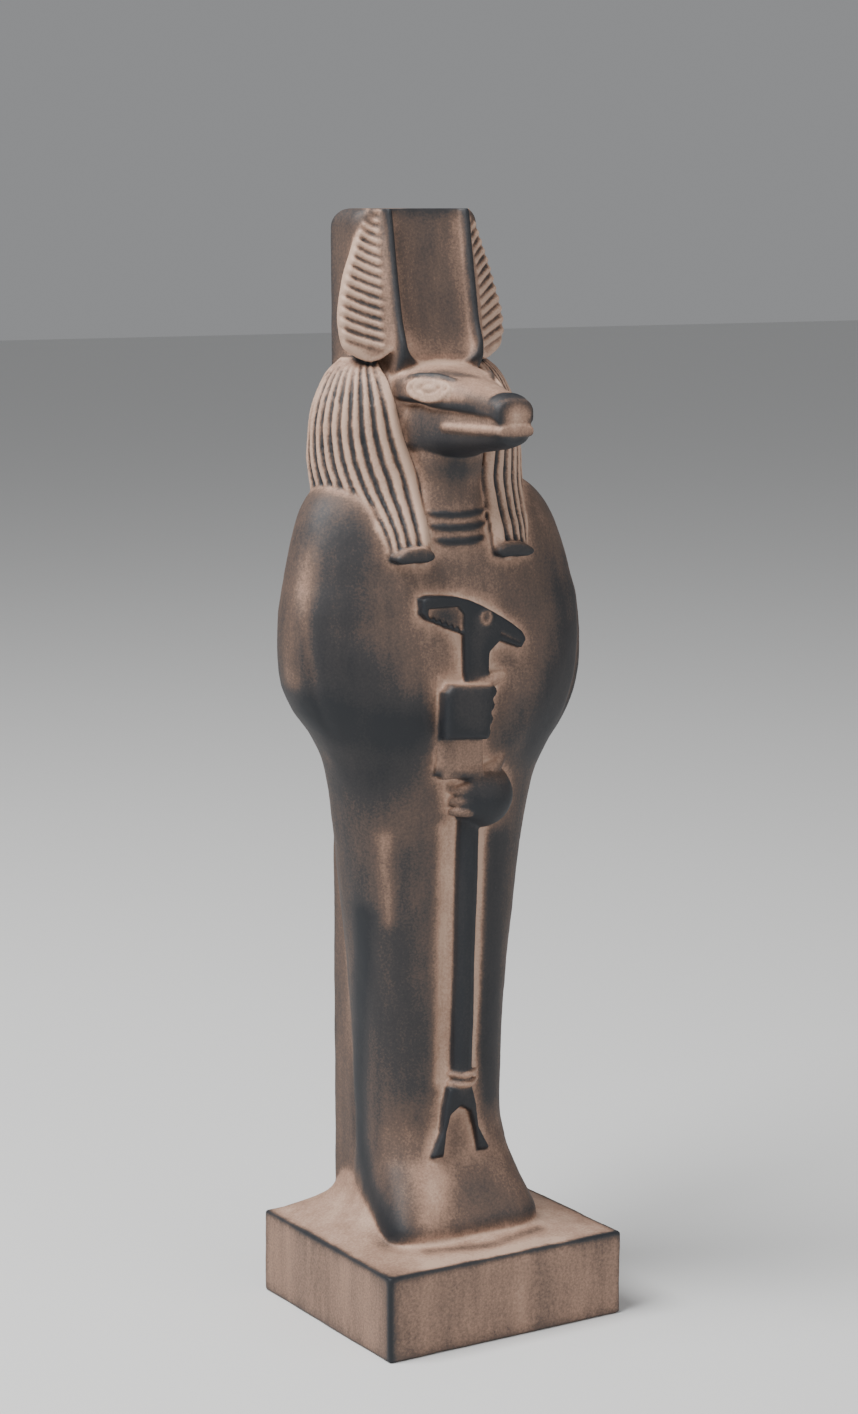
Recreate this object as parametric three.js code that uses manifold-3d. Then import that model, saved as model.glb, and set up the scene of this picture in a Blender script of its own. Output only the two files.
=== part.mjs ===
// A cast souvenir statue of a standing jackal-headed figure in a shroud, millimetres, +Z up.
// The figure faces -Y. The origin is the centre of the base's underside.
import * as THREE from 'three';
import { mergeVertices } from 'three/addons/utils/BufferGeometryUtils.js';
import Module from 'manifold-3d';

// Overall sizes
const statueHeight = 300;
const baseWidth = 73.9;
const baseDepth = 68;
const baseHeight = 23.3;
const baseEdgeRound = 1.2;
const baseCornerRadius = 2;
const cornerPoints = 4;

// The hollow slope from the base's edge up to the feet and the slab
const slope = {
  half: 20.4, front: -17, back: 24.5, radius: 6, frontRise: 2.4, backRise: 13, fullRiseAt: 4,
  power: 2.3, steps: 5,
};

// The slab behind the figure, from the base to the top
const pillarHalfWidth = 19.6;
const pillarFront = 10;
const pillarBack = 25.5;
const pillarTopRound = 5;
const pillarFrontRadius = 5;
const pillarBackRadius = 1.6;

// The shroud from the toes to the shoulders, a section at each height. The feet are narrower
// at the back than at the toes, and the lower edge of the left sleeve makes one side fuller.
const shroudSections = [
  { z: 21, half: 26, front: -19.6, back: 22, square: 5, narrow: 0.24, shift: 0 },
  { z: 27.5, half: 25.6, front: -19.2, back: 22, square: 5, narrow: 0.24, shift: 0 },
  { z: 31, half: 24.8, front: -17.6, back: 22, square: 4.8, narrow: 0.22, shift: 0 },
  { z: 35.5, half: 23.4, front: -15, back: 22, square: 4.3, narrow: 0.18, shift: 0 },
  { z: 40, half: 22.2, front: -12.2, back: 22, square: 3.6, narrow: 0.12, shift: 0 },
  { z: 45, half: 21, front: -9.6, back: 22, square: 3, narrow: 0.06, shift: 0 },
  { z: 53, half: 20.4, front: -8.2, back: 22.5, square: 2.6, narrow: 0.02, shift: 0 },
  { z: 68, half: 20.7, front: -8, back: 23, square: 2.5, narrow: 0, shift: 0 },
  { z: 90, half: 21.9, front: -8.9, back: 23.4, square: 2.5, narrow: 0, shift: 0 },
  { z: 111, half: 24.3, front: -9.4, back: 23.6, square: 2.5, narrow: 0, shift: 0 },
  { z: 133, half: 27.6, front: -9.8, back: 23, square: 2.4, narrow: 0, shift: 0.2 },
  { z: 146, half: 30.2, front: -10.4, back: 22, square: 2.4, narrow: 0, shift: 0.4 },
  { z: 155, half: 33.6, front: -11.6, back: 21, square: 2.4, narrow: 0, shift: 1 },
  { z: 162, half: 38.2, front: -12.4, back: 20.5, square: 2.4, narrow: 0, shift: 1.4 },
  { z: 169, half: 42.7, front: -12.8, back: 22, square: 2.4, narrow: 0, shift: 1 },
  { z: 176, half: 45, front: -13, back: 23.5, square: 2.4, narrow: 0, shift: 0.5 },
  { z: 184, half: 45.9, front: -12.9, back: 22.8, square: 2.4, narrow: 0, shift: 0 },
  { z: 194, half: 45.1, front: -12.4, back: 23.2, square: 2.4, narrow: 0, shift: 0 },
  { z: 204, half: 43, front: -11.2, back: 24, square: 2.3, narrow: 0, shift: 0 },
  { z: 213, half: 40.4, front: -9.4, back: 24, square: 2.3, narrow: 0, shift: 0 },
  { z: 220, half: 37.6, front: -6.8, back: 24, square: 2.3, narrow: 0, shift: 0 },
  { z: 226, half: 33, front: -2.6, back: 23, square: 2.3, narrow: 0, shift: 0 },
  { z: 230, half: 26, front: 2, back: 21, square: 2.2, narrow: 0, shift: 0 },
];
const shroudStep = 11;
const shroudPoints = 32;

// The forearms swell the shroud's front: the right one lies level, the left one slopes down
const forearm = { swell: 2, halfHeight: 12, from: 0, full: 17, fade: 24, to: 44 };
const rightForearm = { wrist: 167, climb: 0.3 };
const leftForearm = { wrist: 150, climb: 0.85 };

// The wig: its section at each height, its inner edge and the lappet's outer edge
const wigMiddle = 15.2;
const wigSections = [
  { z: 210.6, half: 28.8, front: -12.3, back: 17, square: 3.7, inner: 10.2, outer: 20.9 },
  { z: 216, half: 29.6, front: -11.1, back: 17, square: 3.2, inner: 10.1, outer: 21.6 },
  { z: 220, half: 30.3, front: -9.4, back: 17, square: 2.8, inner: 10, outer: 22.3 },
  { z: 228, half: 31.2, front: -6.5, back: 20, square: 2.3, inner: 10, outer: 24.2 },
  { z: 235, half: 31.8, front: -5.6, back: 23.8, square: 2.1, inner: 11.8, outer: 25.6 },
  { z: 242, half: 31.4, front: -5.3, back: 23.8, square: 2, inner: 13.8, outer: 26 },
  { z: 248, half: 30.2, front: -4.6, back: 23.8, square: 2, inner: 14.8, outer: 25.4 },
  { z: 254, half: 27.8, front: -2.6, back: 23.8, square: 2, inner: 15.4, outer: 23.8 },
  { z: 259, half: 25.2, front: 0.4, back: 23.8, square: 2, inner: 15.5, outer: 21.8 },
  { z: 263, half: 22.6, front: 4, back: 23.8, square: 2, inner: 15.5, outer: 20 },
];
const lappetStrands = 5;
const sideStrands = 8;
const strandRise = 0.85;
const strandDip = 0.5;
const wigEnd = 17;
const hem = { bottom: 208.6, top: 212.4, proud: 1.2, round: 1.1 };

// The head along the muzzle: place, half width of skull and jaw, top, ledge under the eye, jaw
const headSections = [
  { y: 8, skull: 13, cheek: 12, top: 263, ledge: 248.6, jaw: 232 },
  { y: 1, skull: 13.8, cheek: 12.6, top: 261.6, ledge: 249.4, jaw: 233 },
  { y: -5, skull: 12.7, cheek: 11.3, top: 260, ledge: 249.4, jaw: 234.2 },
  { y: -10, skull: 10.9, cheek: 9.5, top: 258.6, ledge: 248.4, jaw: 235.2 },
  { y: -15, skull: 9, cheek: 7.8, top: 257, ledge: 247.9, jaw: 236.2 },
  { y: -20, skull: 7.6, cheek: 6.5, top: 255.5, ledge: 247.6, jaw: 237.1 },
  { y: -26, skull: 6.6, cheek: 5.6, top: 254, ledge: 247.3, jaw: 238 },
  { y: -32, skull: 6.1, cheek: 5.2, top: 252.8, ledge: 246.9, jaw: 239 },
  { y: -35.2, skull: 5.8, cheek: 4.9, top: 252.1, ledge: 245.9, jaw: 240 },
  { y: -36.6, skull: 5.1, cheek: 4.1, top: 251.2, ledge: 245, jaw: 241.2 },
];
const headPoints = 14;
const lip = { top: 244.7, bottom: 242.2, corner: -12.4, front: -36.9, proud: 0.5 };
const eye = { x: 9.7, y: -10.6, z: 253.4, length: 12.6, height: 5.6, ball: 6.4, ballHeight: 2.6 };
const brow = { outer: [12, -3, 257.4], inner: [5.2, -16.4, 256.6], radius: 1.1 };

// The neck between the lappets, with its rings
const neckSections = [
  { z: 205, half: 10.6, front: -9.6 },
  { z: 213, half: 11.8, front: -10.4 },
  { z: 222, half: 11.6, front: -9.3 },
  { z: 228, half: 10.6, front: -8.8 },
  { z: 233, half: 10.4, front: -10.4 },
  { z: 240, half: 12, front: -13 },
];
const neckBack = 12;
const collarHeights = [213.9, 217.4, 220.8];
const collar = { half: 9.2, radius: 1.2, sag: 0.8, curve: 2 };

// The crown: ears with a panel between them, at each height
const crownSections = [
  { z: 254, panel: 6, bead: 6, hollow: 9, rimX: 19, rimY: 12 },
  { z: 259.6, panel: 0, bead: 0, hollow: 5.6, rimX: 21, rimY: 9 },
  { z: 261.4, panel: 0.2, bead: -1.4, hollow: 2.6, rimX: 23.4, rimY: 8 },
  { z: 264, panel: 1.2, bead: -1.2, hollow: 1.9, rimX: 24.9, rimY: 8.4 },
  { z: 270, panel: 3, bead: 0.8, hollow: 2.6, rimX: 25.5, rimY: 9.3 },
  { z: 280, panel: 4.9, bead: 2.9, hollow: 3.9, rimX: 23.6, rimY: 10.5 },
  { z: 290, panel: 6.6, bead: 4.6, hollow: 6.2, rimX: 20.2, rimY: 10.9 },
  { z: 296, panel: 7.6, bead: 5.5, hollow: 8, rimX: 17.9, rimY: 11.3 },
  { z: 300, panel: 8.2, bead: 6.2, hollow: 9.2, rimX: 16.2, rimY: 12 },
];
const panelHalf = 10.5;
const beadInner = 11.2;
const beadOuter = 12.7;
const hollowEdge = 13.3;
const hollowDip = 0.7;
const rimThickness = 2.6;
const ribCount = 13;
const ribPitch = 2.7;
const ribFirst = 263.6;
const ribWidth = 2;
const ribHeight = 0.9;

// The sceptre's head in front of the shroud, its neck going down behind the upper fist
const sceptreFront = -15;
const sceptreBack = -9;
const sceptreBevel = 0.7;
const sceptreHead = [
  [-14, 198.4], [-14.2, 194.6], [-12.6, 193.6], [-2, 189.2], [-1.6, 172], [6, 172],
  [6.4, 183.4], [9.7, 186.6], [16.6, 183.6], [18, 186.8], [15, 191], [9.1, 195],
  [3, 197.9], [-3.6, 199.2],
];
const crest = [[-12.6, 196.4], [-12.6, 194.5], [-3.2, 190.8], [-3, 195.2], [-4.4, 196.4]];
const crestDepth = 0.9;
const teeth = { count: 6, x: -11.8, z: 194.2, stepX: 1.6, stepZ: -0.64, half: 0.6, tall: 1.6 };

// The shaft leans a little, with two rings above its forked foot
const shaftPath = [[2.6, -11, 178], [2, -9.8, 133], [1.1, -7.8, 64]];
const shaftRadius = 3.3;
const ringHeights = [65, 67.6];
const ring = { x: 1.5, half: 4.6, front: -11.4, back: -8.2, radius: 0.85 };
const fork = {
  top: 64, apex: 57, foot: 45.4, halfTop: 3.6, halfApex: 5, halfMiddle: 5.8, halfFoot: 9.2, leg: 4.2,
  front: -11, thickness: 7, bevel: 0.8,
};

// The right fist is a block with four knuckles beside the shaft and its thumb above
const fist = {
  left: -9.4, bottom: 160.6, top: 175, rightLow: 5, rightTop: 7.2, front: -18.4, back: -6, bevel: 1.6,
};
const knuckles = { count: 4, radius: 1.9, behind: 1.4 };
const rightThumb = { path: [[3, -13, 175.4], [7.5, -13.4, 176], [12, -12.4, 177.2]], radii: [2.5, 2.3, 1.3] };

// The left fist is a dome with fingertips round the shaft, its thumb across the top
const lowerFist = { x: 6, y: -8.8, z: 144.2, half: 9.8, deep: 8.9, tall: 9 };
const fingerHeights = [140.8, 143.9, 147];
const finger = { path: [[-4, -11, 0], [-0.6, -13.6, 0.1], [3, -14, 0.3]], radii: [1.2, 1.5, 1.5] };
const leftThumb = { path: [[-9.4, -11.6, 152.8], [-4, -13, 152], [4, -12.6, 151]], radii: [1.7, 1.9, 2.6] };
const wristEdge = { path: [[3, -12.4, 150], [9, -12, 152], [12.6, -10.4, 156.4]], radii: [2, 2.2, 1.8] };

// Between the fists the gap is filled, beside the edge where the shroud opens for the hand
const filling = { left: -8, right: 4.5, bottom: 150, top: 163, front: -14.4, back: -6, bevel: 0.6 };
const opening = { path: [[-7.8, -11, 153], [-8, -12.8, 166], [-8, -12.2, 179]], radii: [1.3, 1.5, 1.2] };

const wasm = await Module();
wasm.setup();

// Volume enclosed by a mesh, negative where its faces point in
function enclosedVolume(points, faces) {
  let volume = 0;
  const corner = [new THREE.Vector3(), new THREE.Vector3(), new THREE.Vector3()];
  for (let i = 0; i < faces.length; i += 3) {
    corner.forEach((c, k) => c.fromArray(points, 3 * faces[i + k]));
    volume += corner[0].dot(corner[1].cross(corner[2])) / 6;
  }
  return volume;
}

// A closed geometry as a solid that can be joined and cut
function solidOf(geometry) {
  const bare = geometry.clone();
  bare.deleteAttribute('normal');
  bare.deleteAttribute('uv');
  const merged = mergeVertices(bare, 1e-4);
  const points = Float32Array.from(merged.attributes.position.array);
  const faces = Uint32Array.from(merged.index.array);
  if (enclosedVolume(points, faces) < 0) faces.reverse();
  return new wasm.Manifold(new wasm.Mesh({ numProp: 3, vertProperties: points, triVerts: faces }));
}

// A closed solid through rings that all have the same number of points
function loft(rings) {
  const count = rings[0].length;
  const points = rings.flat();
  const faces = [];
  for (let r = 0; r < rings.length - 1; r++) {
    for (let k = 0; k < count; k++) {
      const a = r * count + k;
      const b = r * count + (k + 1) % count;
      faces.push(a, b, b + count, a, b + count, a + count);
    }
  }
  const last = (rings.length - 1) * count;
  [[0, 1], [last, -1]].forEach(([start, way]) => {
    const middle = new THREE.Vector3();
    for (let k = 0; k < count; k++) middle.addScaledVector(points[start + k], 1 / count);
    const centre = points.push(middle) - 1;
    for (let k = 0; k < count; k++) {
      const a = start + k;
      const b = start + (k + 1) % count;
      faces.push(centre, way > 0 ? b : a, way > 0 ? a : b);
    }
  });
  const geometry = new THREE.BufferGeometry().setFromPoints(points);
  geometry.setIndex(faces);
  return solidOf(geometry);
}

// A value of a table at any place, on a smooth curve that never overshoots
function tableValue(table, along, key, place) {
  const last = table.length - 1;
  const rising = table[last][along] > table[0][along];
  const passed = (row) => (rising ? row[along] <= place : row[along] >= place);
  const i = Math.min(Math.max(table.findLastIndex(passed), 0), last - 1);
  const gap = (k) => table[k + 1][along] - table[k][along];
  const slope = (k) => (table[k + 1][key] - table[k][key]) / gap(k);
  const tangent = (k) => {
    if (k === 0) return slope(0);
    if (k === last) return slope(last - 1);
    const before = slope(k - 1);
    const after = slope(k);
    return before * after <= 0 ? 0 : (2 * before * after) / (before + after);
  };
  const width = gap(i);
  const t = Math.min(Math.max((place - table[i][along]) / width, 0), 1);
  const smooth = t * t * (3 - 2 * t);
  const start = table[i][key] * (1 - smooth) + table[i + 1][key] * smooth;
  const leave = t * (1 - t) * (1 - t) * width * tangent(i);
  const arrive = t * t * (1 - t) * width * tangent(i + 1);
  return start + leave - arrive;
}

// Every value of a table at one place
function tableRow(table, along, place) {
  const row = {};
  Object.keys(table[0]).forEach((key) => {
    row[key] = key === along ? place : tableValue(table, along, key, place);
  });
  return row;
}

// Places from the first row of a table to its last, at most a step apart
function placesAlong(table, along, step) {
  const places = [];
  for (let i = 0; i < table.length - 1; i++) {
    const gap = table[i + 1][along] - table[i][along];
    const parts = Math.max(1, Math.round(Math.abs(gap) / step));
    for (let k = 0; k < parts; k++) places.push(table[i][along] + (gap * k) / parts);
  }
  places.push(table[table.length - 1][along]);
  return places;
}

function signedPower(value, power) {
  return Math.sign(value) * Math.abs(value) ** power;
}

// A flat ring between a circle and a rectangle: the squareness 2 gives an ellipse
function ovalRing(z, half, front, back, square, count) {
  const middle = (front + back) / 2;
  const depth = (back - front) / 2;
  return Array.from({ length: count }, (_, k) => {
    const angle = (2 * Math.PI * (k + 0.5)) / count;
    const x = half * signedPower(Math.cos(angle), 2 / square);
    const y = middle + depth * signedPower(Math.sin(angle), 2 / square);
    return new THREE.Vector3(x, y, z);
  });
}

// A rectangle with round corners, given by its half width, front and back
function cornerRing(half, front, back, radii, perCorner, heightAt) {
  const corners = [[1, 1], [-1, 1], [-1, -1], [1, -1]];
  return corners.flatMap(([sideX, sideY], corner) => {
    const radius = sideY > 0 ? radii.back : radii.front;
    const cx = sideX * (half - radius);
    const cy = sideY > 0 ? back - radius : front + radius;
    return Array.from({ length: perCorner }, (_, k) => {
      const angle = (Math.PI / 2) * (corner + k / (perCorner - 1));
      const x = cx + radius * Math.cos(angle);
      const y = cy + radius * Math.sin(angle);
      return new THREE.Vector3(x, y, heightAt(y));
    });
  });
}

// A round bar through points, with its own radius at each of them
function bar(points, radii, sides) {
  const curve = new THREE.CatmullRomCurve3(points.map((p) => new THREE.Vector3(...p)));
  const steps = (points.length - 1) * (points.length > 2 ? 2 : 1);
  const frames = curve.computeFrenetFrames(steps, false);
  const rings = [];
  const ring = (t, radius, shift) => {
    const i = Math.round(t * steps);
    const middle = curve.getPoint(t).addScaledVector(frames.tangents[i], shift);
    return Array.from({ length: sides }, (_, k) => {
      const angle = (2 * Math.PI * k) / sides;
      return middle.clone()
        .addScaledVector(frames.normals[i], radius * Math.cos(angle))
        .addScaledVector(frames.binormals[i], radius * Math.sin(angle));
    });
  };
  const radiusAt = (t) => {
    const place = t * (radii.length - 1);
    const i = Math.min(Math.floor(place), radii.length - 2);
    return radii[i] + (radii[i + 1] - radii[i]) * (place - i);
  };
  rings.push(ring(0, radii[0] * 0.6, -radii[0] * 0.6));
  for (let i = 0; i <= steps; i++) rings.push(ring(i / steps, radiusAt(i / steps), 0));
  const end = radii[radii.length - 1];
  rings.push(ring(1, end * 0.6, end * 0.6));
  return loft(rings);
}

// A flat outline in the XZ plane, thick along Y from its back to its front
function relief(outline, front, back, bevel) {
  const shape = new THREE.Shape(outline.map(([x, z]) => new THREE.Vector2(x, z)));
  const geometry = new THREE.ExtrudeGeometry(shape, {
    depth: back - front - bevel,
    bevelEnabled: bevel > 0,
    bevelThickness: bevel,
    bevelSize: bevel,
    bevelOffset: -bevel,
    bevelSegments: 1,
    curveSegments: 4,
  });
  geometry.rotateX(Math.PI / 2);
  geometry.translate(0, back, 0);
  return solidOf(geometry);
}

function joinAll(solids) {
  return solids.reduce((sum, next) => sum.add(next));
}

// The square base with softened edges, and the hollow slope up to the feet
function makeBase() {
  const half = baseWidth / 2;
  const depth = baseDepth / 2;
  const round = (radius) => ({ front: radius, back: radius });
  const level = (inset, z) => cornerRing(half - inset, -depth + inset, depth - inset,
    round(baseCornerRadius), cornerPoints, () => z);
  const rings = [
    level(baseEdgeRound, 0),
    level(0, baseEdgeRound),
    level(0, baseHeight - baseEdgeRound),
    level(baseEdgeRound, baseHeight),
  ];
  for (let i = 1; i <= slope.steps; i++) {
    const share = i / slope.steps;
    const between = (outer, inner) => outer + (inner - outer) * share;
    const heightAt = (y) => {
      const backward = THREE.MathUtils.smoothstep(y, slope.front, slope.fullRiseAt);
      const rise = THREE.MathUtils.lerp(slope.frontRise, slope.backRise, backward);
      return baseHeight + rise * share ** slope.power;
    };
    rings.push(cornerRing(
      between(half - baseEdgeRound, slope.half),
      between(-depth + baseEdgeRound, slope.front),
      between(depth - baseEdgeRound, slope.back),
      round(between(baseCornerRadius, slope.radius)), cornerPoints, heightAt));
  }
  return loft(rings);
}

// The slab, with its top edges at the back and sides rounded over
function makePillar() {
  const radii = { front: pillarFrontRadius, back: pillarBackRadius };
  const level = (inset, z) => cornerRing(
    pillarHalfWidth - inset * 0.7, pillarFront, pillarBack - inset, radii, cornerPoints, () => z);
  const rings = [level(0, baseHeight - 3)];
  const roundSteps = 4;
  for (let i = 0; i <= roundSteps; i++) {
    const angle = (Math.PI / 2) * (i / roundSteps);
    const inset = pillarTopRound * (1 - Math.cos(angle));
    rings.push(level(inset, statueHeight - pillarTopRound * (1 - Math.sin(angle))));
  }
  return loft(rings);
}

// How far a forearm pushes the shroud forward at a point
function forearmSwell(x, z) {
  const out = Math.abs(x);
  const arm = x < 0 ? rightForearm : leftForearm;
  const middle = arm.wrist + arm.climb * out;
  const near = THREE.MathUtils.smoothstep(out, forearm.from, forearm.full);
  const far = 1 - THREE.MathUtils.smoothstep(out, forearm.fade, forearm.to);
  return forearm.swell * near * far * Math.exp(-(((z - middle) / forearm.halfHeight) ** 2));
}

function makeShroud() {
  const rings = placesAlong(shroudSections, 'z', shroudStep).map((z) => {
    const row = tableRow(shroudSections, 'z', z);
    const depth = row.back - row.front;
    return ovalRing(z, row.half, row.front, row.back, row.square, shroudPoints).map((p) => {
      const x = p.x * (1 - (row.narrow * (p.y - row.front)) / depth) + row.shift;
      const forward = p.y < row.front + depth / 2 ? forearmSwell(x, z) : 0;
      return new THREE.Vector3(x, p.y - forward, z);
    });
  });
  return loft(rings);
}

// One height of the wig: strands from the lappet's inner edge round to the slab, both sides
function wigRing(z) {
  const row = tableRow(wigSections, 'z', z);
  const front = wigMiddle - row.front;
  const back = row.back - wigMiddle;
  const turn = (x) => Math.asin(Math.min(x / row.half, 1) ** (row.square / 2));
  const at = (angle, rise) => {
    const reach = angle < Math.PI / 2 ? -front : back;
    const x = row.half * Math.sin(angle) ** (2 / row.square);
    const y = wigMiddle + reach * Math.abs(Math.cos(angle)) ** (2 / row.square);
    const out = new THREE.Vector2(x / row.half ** 2, (y - wigMiddle) / reach ** 2).normalize();
    return [x + rise * out.x, y + rise * out.y];
  };
  const edges = [turn(row.inner), turn(row.outer), Math.PI - turn(wigEnd)];
  const side = [];
  side.push([row.inner * 0.55, row.front + 9]);
  side.push([row.inner - 0.6, at(edges[0], 0)[1] + 4]);
  [lappetStrands, sideStrands].forEach((strands, part) => {
    for (let k = 0; k < strands; k++) {
      const step = (edges[part + 1] - edges[part]) / strands;
      side.push(at(edges[part] + k * step, -strandDip));
      side.push(at(edges[part] + (k + 0.5) * step, strandRise));
    }
  });
  side.push(at(edges[2], -strandDip));
  const right = side.map(([x, y]) => new THREE.Vector3(x, y, z));
  const left = side.map(([x, y]) => new THREE.Vector3(-x, y, z)).reverse();
  return [...right, ...left];
}

function makeWig() {
  return loft(placesAlong(wigSections, 'z', 9).map(wigRing));
}

// The band that closes the lower end of each lappet
function makeHems() {
  const low = tableRow(wigSections, 'z', hem.bottom);
  const band = (side) => {
    const left = low.inner - 0.3;
    const right = low.outer + 0.5;
    const outline = [
      [left + hem.round, hem.bottom + 0.5], [(left + right) / 2, hem.bottom],
      [right - hem.round, hem.bottom - 0.4], [right, hem.bottom + 0.8], [right, hem.top - 0.8],
      [(left + right) / 2, hem.top + 0.3], [left, hem.top - 0.2], [left, hem.bottom + 1.5],
    ];
    return relief(outline.map(([x, z]) => [side * x, z]), low.front - hem.proud, -6, 0.8);
  };
  return band(1).add(band(-1));
}

// A ring across the head, flat below and rounded above
function headRing(y, half, top, bottom, below) {
  const middle = bottom + (top - bottom) * 0.4;
  return Array.from({ length: headPoints }, (_, k) => {
    const angle = (2 * Math.PI * (k + 0.5)) / headPoints;
    const up = Math.sin(angle) > 0;
    const power = 2 / (up ? 2.3 : below);
    const x = half * signedPower(Math.cos(angle), power);
    const reach = up ? top - middle : middle - bottom;
    return new THREE.Vector3(x, y, middle + reach * signedPower(Math.sin(angle), power));
  });
}

function makeHead() {
  const skull = loft(headSections.map(
    (row) => headRing(row.y, row.skull, row.top, row.ledge, 6)));
  const jaw = loft(headSections.map(
    (row) => headRing(row.y, row.cheek, row.ledge + 4, row.jaw, 2.6)));
  const lipPlaces = [lip.corner, -18, -24, -30, -34.5, lip.front];
  const lips = loft(lipPlaces.map((y, i) => {
    const half = tableValue(headSections, 'y', 'cheek', y) + lip.proud + (i === 0 ? -0.6 : 0.2);
    return ovalRing(y, half, lip.bottom, lip.top, 4, 8)
      .map((p) => new THREE.Vector3(p.x, p.z, p.y));
  }));
  return joinAll([skull, jaw, lips, makeEye(1), makeEye(-1), makeBrow(1), makeBrow(-1)]);
}

// An almond rim round a smaller almond ball, on the side of the face
function makeEye(side) {
  const almond = (length, height, thickness) => {
    const points = [];
    const steps = 4;
    [1, -1].forEach((half) => {
      for (let i = 0; i < steps; i++) {
        const angle = (Math.PI * i) / steps;
        const x = (half * length * Math.cos(angle)) / 2;
        const y = (half * height * Math.sin(angle) ** 1.2) / 2;
        points.push(new THREE.Vector2(x, y));
      }
    });
    return new THREE.ExtrudeGeometry(new THREE.Shape(points), {
      depth: thickness, bevelEnabled: true, bevelThickness: 0.4, bevelSize: 0.4, bevelSegments: 1,
    });
  };
  const place = (geometry, proud) => {
    geometry.rotateX(Math.PI / 2);
    geometry.rotateX(0.12);
    geometry.rotateZ(side * 1.18);
    geometry.translate(side * eye.x, eye.y, eye.z);
    geometry.translate(side * proud * 0.92, -proud * 0.38, 0);
    return solidOf(geometry);
  };
  const rim = place(almond(eye.length, eye.height, 2.4), -1.1);
  const pit = place(almond(eye.length - 3.4, eye.height - 2.2, 2), 1);
  const ball = place(almond(eye.ball, eye.ballHeight, 2.4), -1.1);
  return rim.subtract(pit).add(ball);
}

function makeBrow(side) {
  const ends = [brow.outer, brow.inner].map(([x, y, z]) => [side * x, y, z]);
  const rise = ends[0].map((value, i) => (value + ends[1][i]) / 2);
  rise[0] += side * 0.6;
  rise[2] += 0.8;
  return bar([ends[0], rise, ends[1]], [brow.radius * 0.6, brow.radius, brow.radius * 0.6], 6);
}

// The neck, with raised rings across its front
function makeNeck() {
  const neck = loft(placesAlong(neckSections, 'z', 8).map((z) => {
    const row = tableRow(neckSections, 'z', z);
    return ovalRing(z, row.half, row.front, neckBack, 2.6, 16);
  }));
  const rings = collarHeights.map((z) => {
    const front = tableValue(neckSections, 'z', 'front', z) + 0.3;
    const across = [-1, 0, 1].map((share) => {
      const back = collar.curve * share * share;
      return [collar.half * share, front + back, z - collar.sag * (1 - share * share)];
    });
    const thick = collar.radius;
    return bar(across, [thick * 0.6, thick, thick * 0.6], 6);
  });
  return joinAll([neck, ...rings]);
}

// One height of the crown, from the middle of the panel over the ear to the slab
function crownRing(z) {
  const row = tableRow(crownSections, 'z', z);
  const across = row.rimX - hollowEdge;
  const back = Math.min(row.rimY + rimThickness + 2, pillarBack - 3);
  const side = [
    [panelHalf * 0.5, row.panel + 0.25],
    [panelHalf, row.panel],
    [beadInner, row.bead + 0.3],
    [(beadInner + beadOuter) / 2, row.bead - 0.2],
    [beadOuter, row.bead + 0.2],
    [hollowEdge, row.hollow + 0.4],
    [hollowEdge + across * 0.35, row.hollow + (row.rimY - row.hollow) * 0.35 + hollowDip],
    [hollowEdge + across * 0.7, row.hollow + (row.rimY - row.hollow) * 0.7 + hollowDip],
    [row.rimX - 0.7, row.rimY - 0.5],
    [row.rimX, row.rimY + 0.5],
    [row.rimX - 0.2, row.rimY + rimThickness],
    [Math.min(row.rimX - 1, pillarHalfWidth - 1.4), back],
    [8, pillarBack - 4],
  ];
  const right = side.map(([x, y]) => new THREE.Vector3(x, y, z));
  const left = side.map(([x, y]) => new THREE.Vector3(-x, y, z)).reverse();
  return [...right, ...left];
}

// The ribs inside an ear, steeper towards its tip
function earRibs(side) {
  const ribs = [];
  for (let k = 0; k < ribCount; k++) {
    const z = ribFirst + k * ribPitch;
    const row = tableRow(crownSections, 'z', Math.min(z, statueHeight));
    const climb = Math.tan(0.3 + (0.28 * k) / ribCount) * (row.rimX - hollowEdge);
    const end = tableRow(crownSections, 'z', Math.min(z + climb, statueHeight));
    if (z + climb > statueHeight - 0.6) continue;
    const inner = new THREE.Vector3(hollowEdge + 0.2, row.hollow + 0.6, z);
    const outer = new THREE.Vector3(end.rimX - 0.5, end.rimY + 0.1, z + climb);
    const along = outer.clone().sub(inner).normalize();
    const out = new THREE.Vector3(along.y, -along.x, 0).normalize();
    const up = new THREE.Vector3().crossVectors(out, along).normalize();
    const ring = (point) => [[-0.5, 2], [-0.5, 0], [0, -ribHeight], [0.5, 0], [0.5, 2]].map(
      ([share, depth]) => {
        const p = point.clone().addScaledVector(up, share * ribWidth).addScaledVector(out, -depth);
        return new THREE.Vector3(side * p.x, p.y, p.z);
      });
    ribs.push(loft([ring(inner), ring(outer)]));
  }
  return ribs;
}

function makeCrown() {
  const crown = loft(placesAlong(crownSections, 'z', 10).map(crownRing));
  return joinAll([crown, ...earRibs(1), ...earRibs(-1)]);
}

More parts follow.
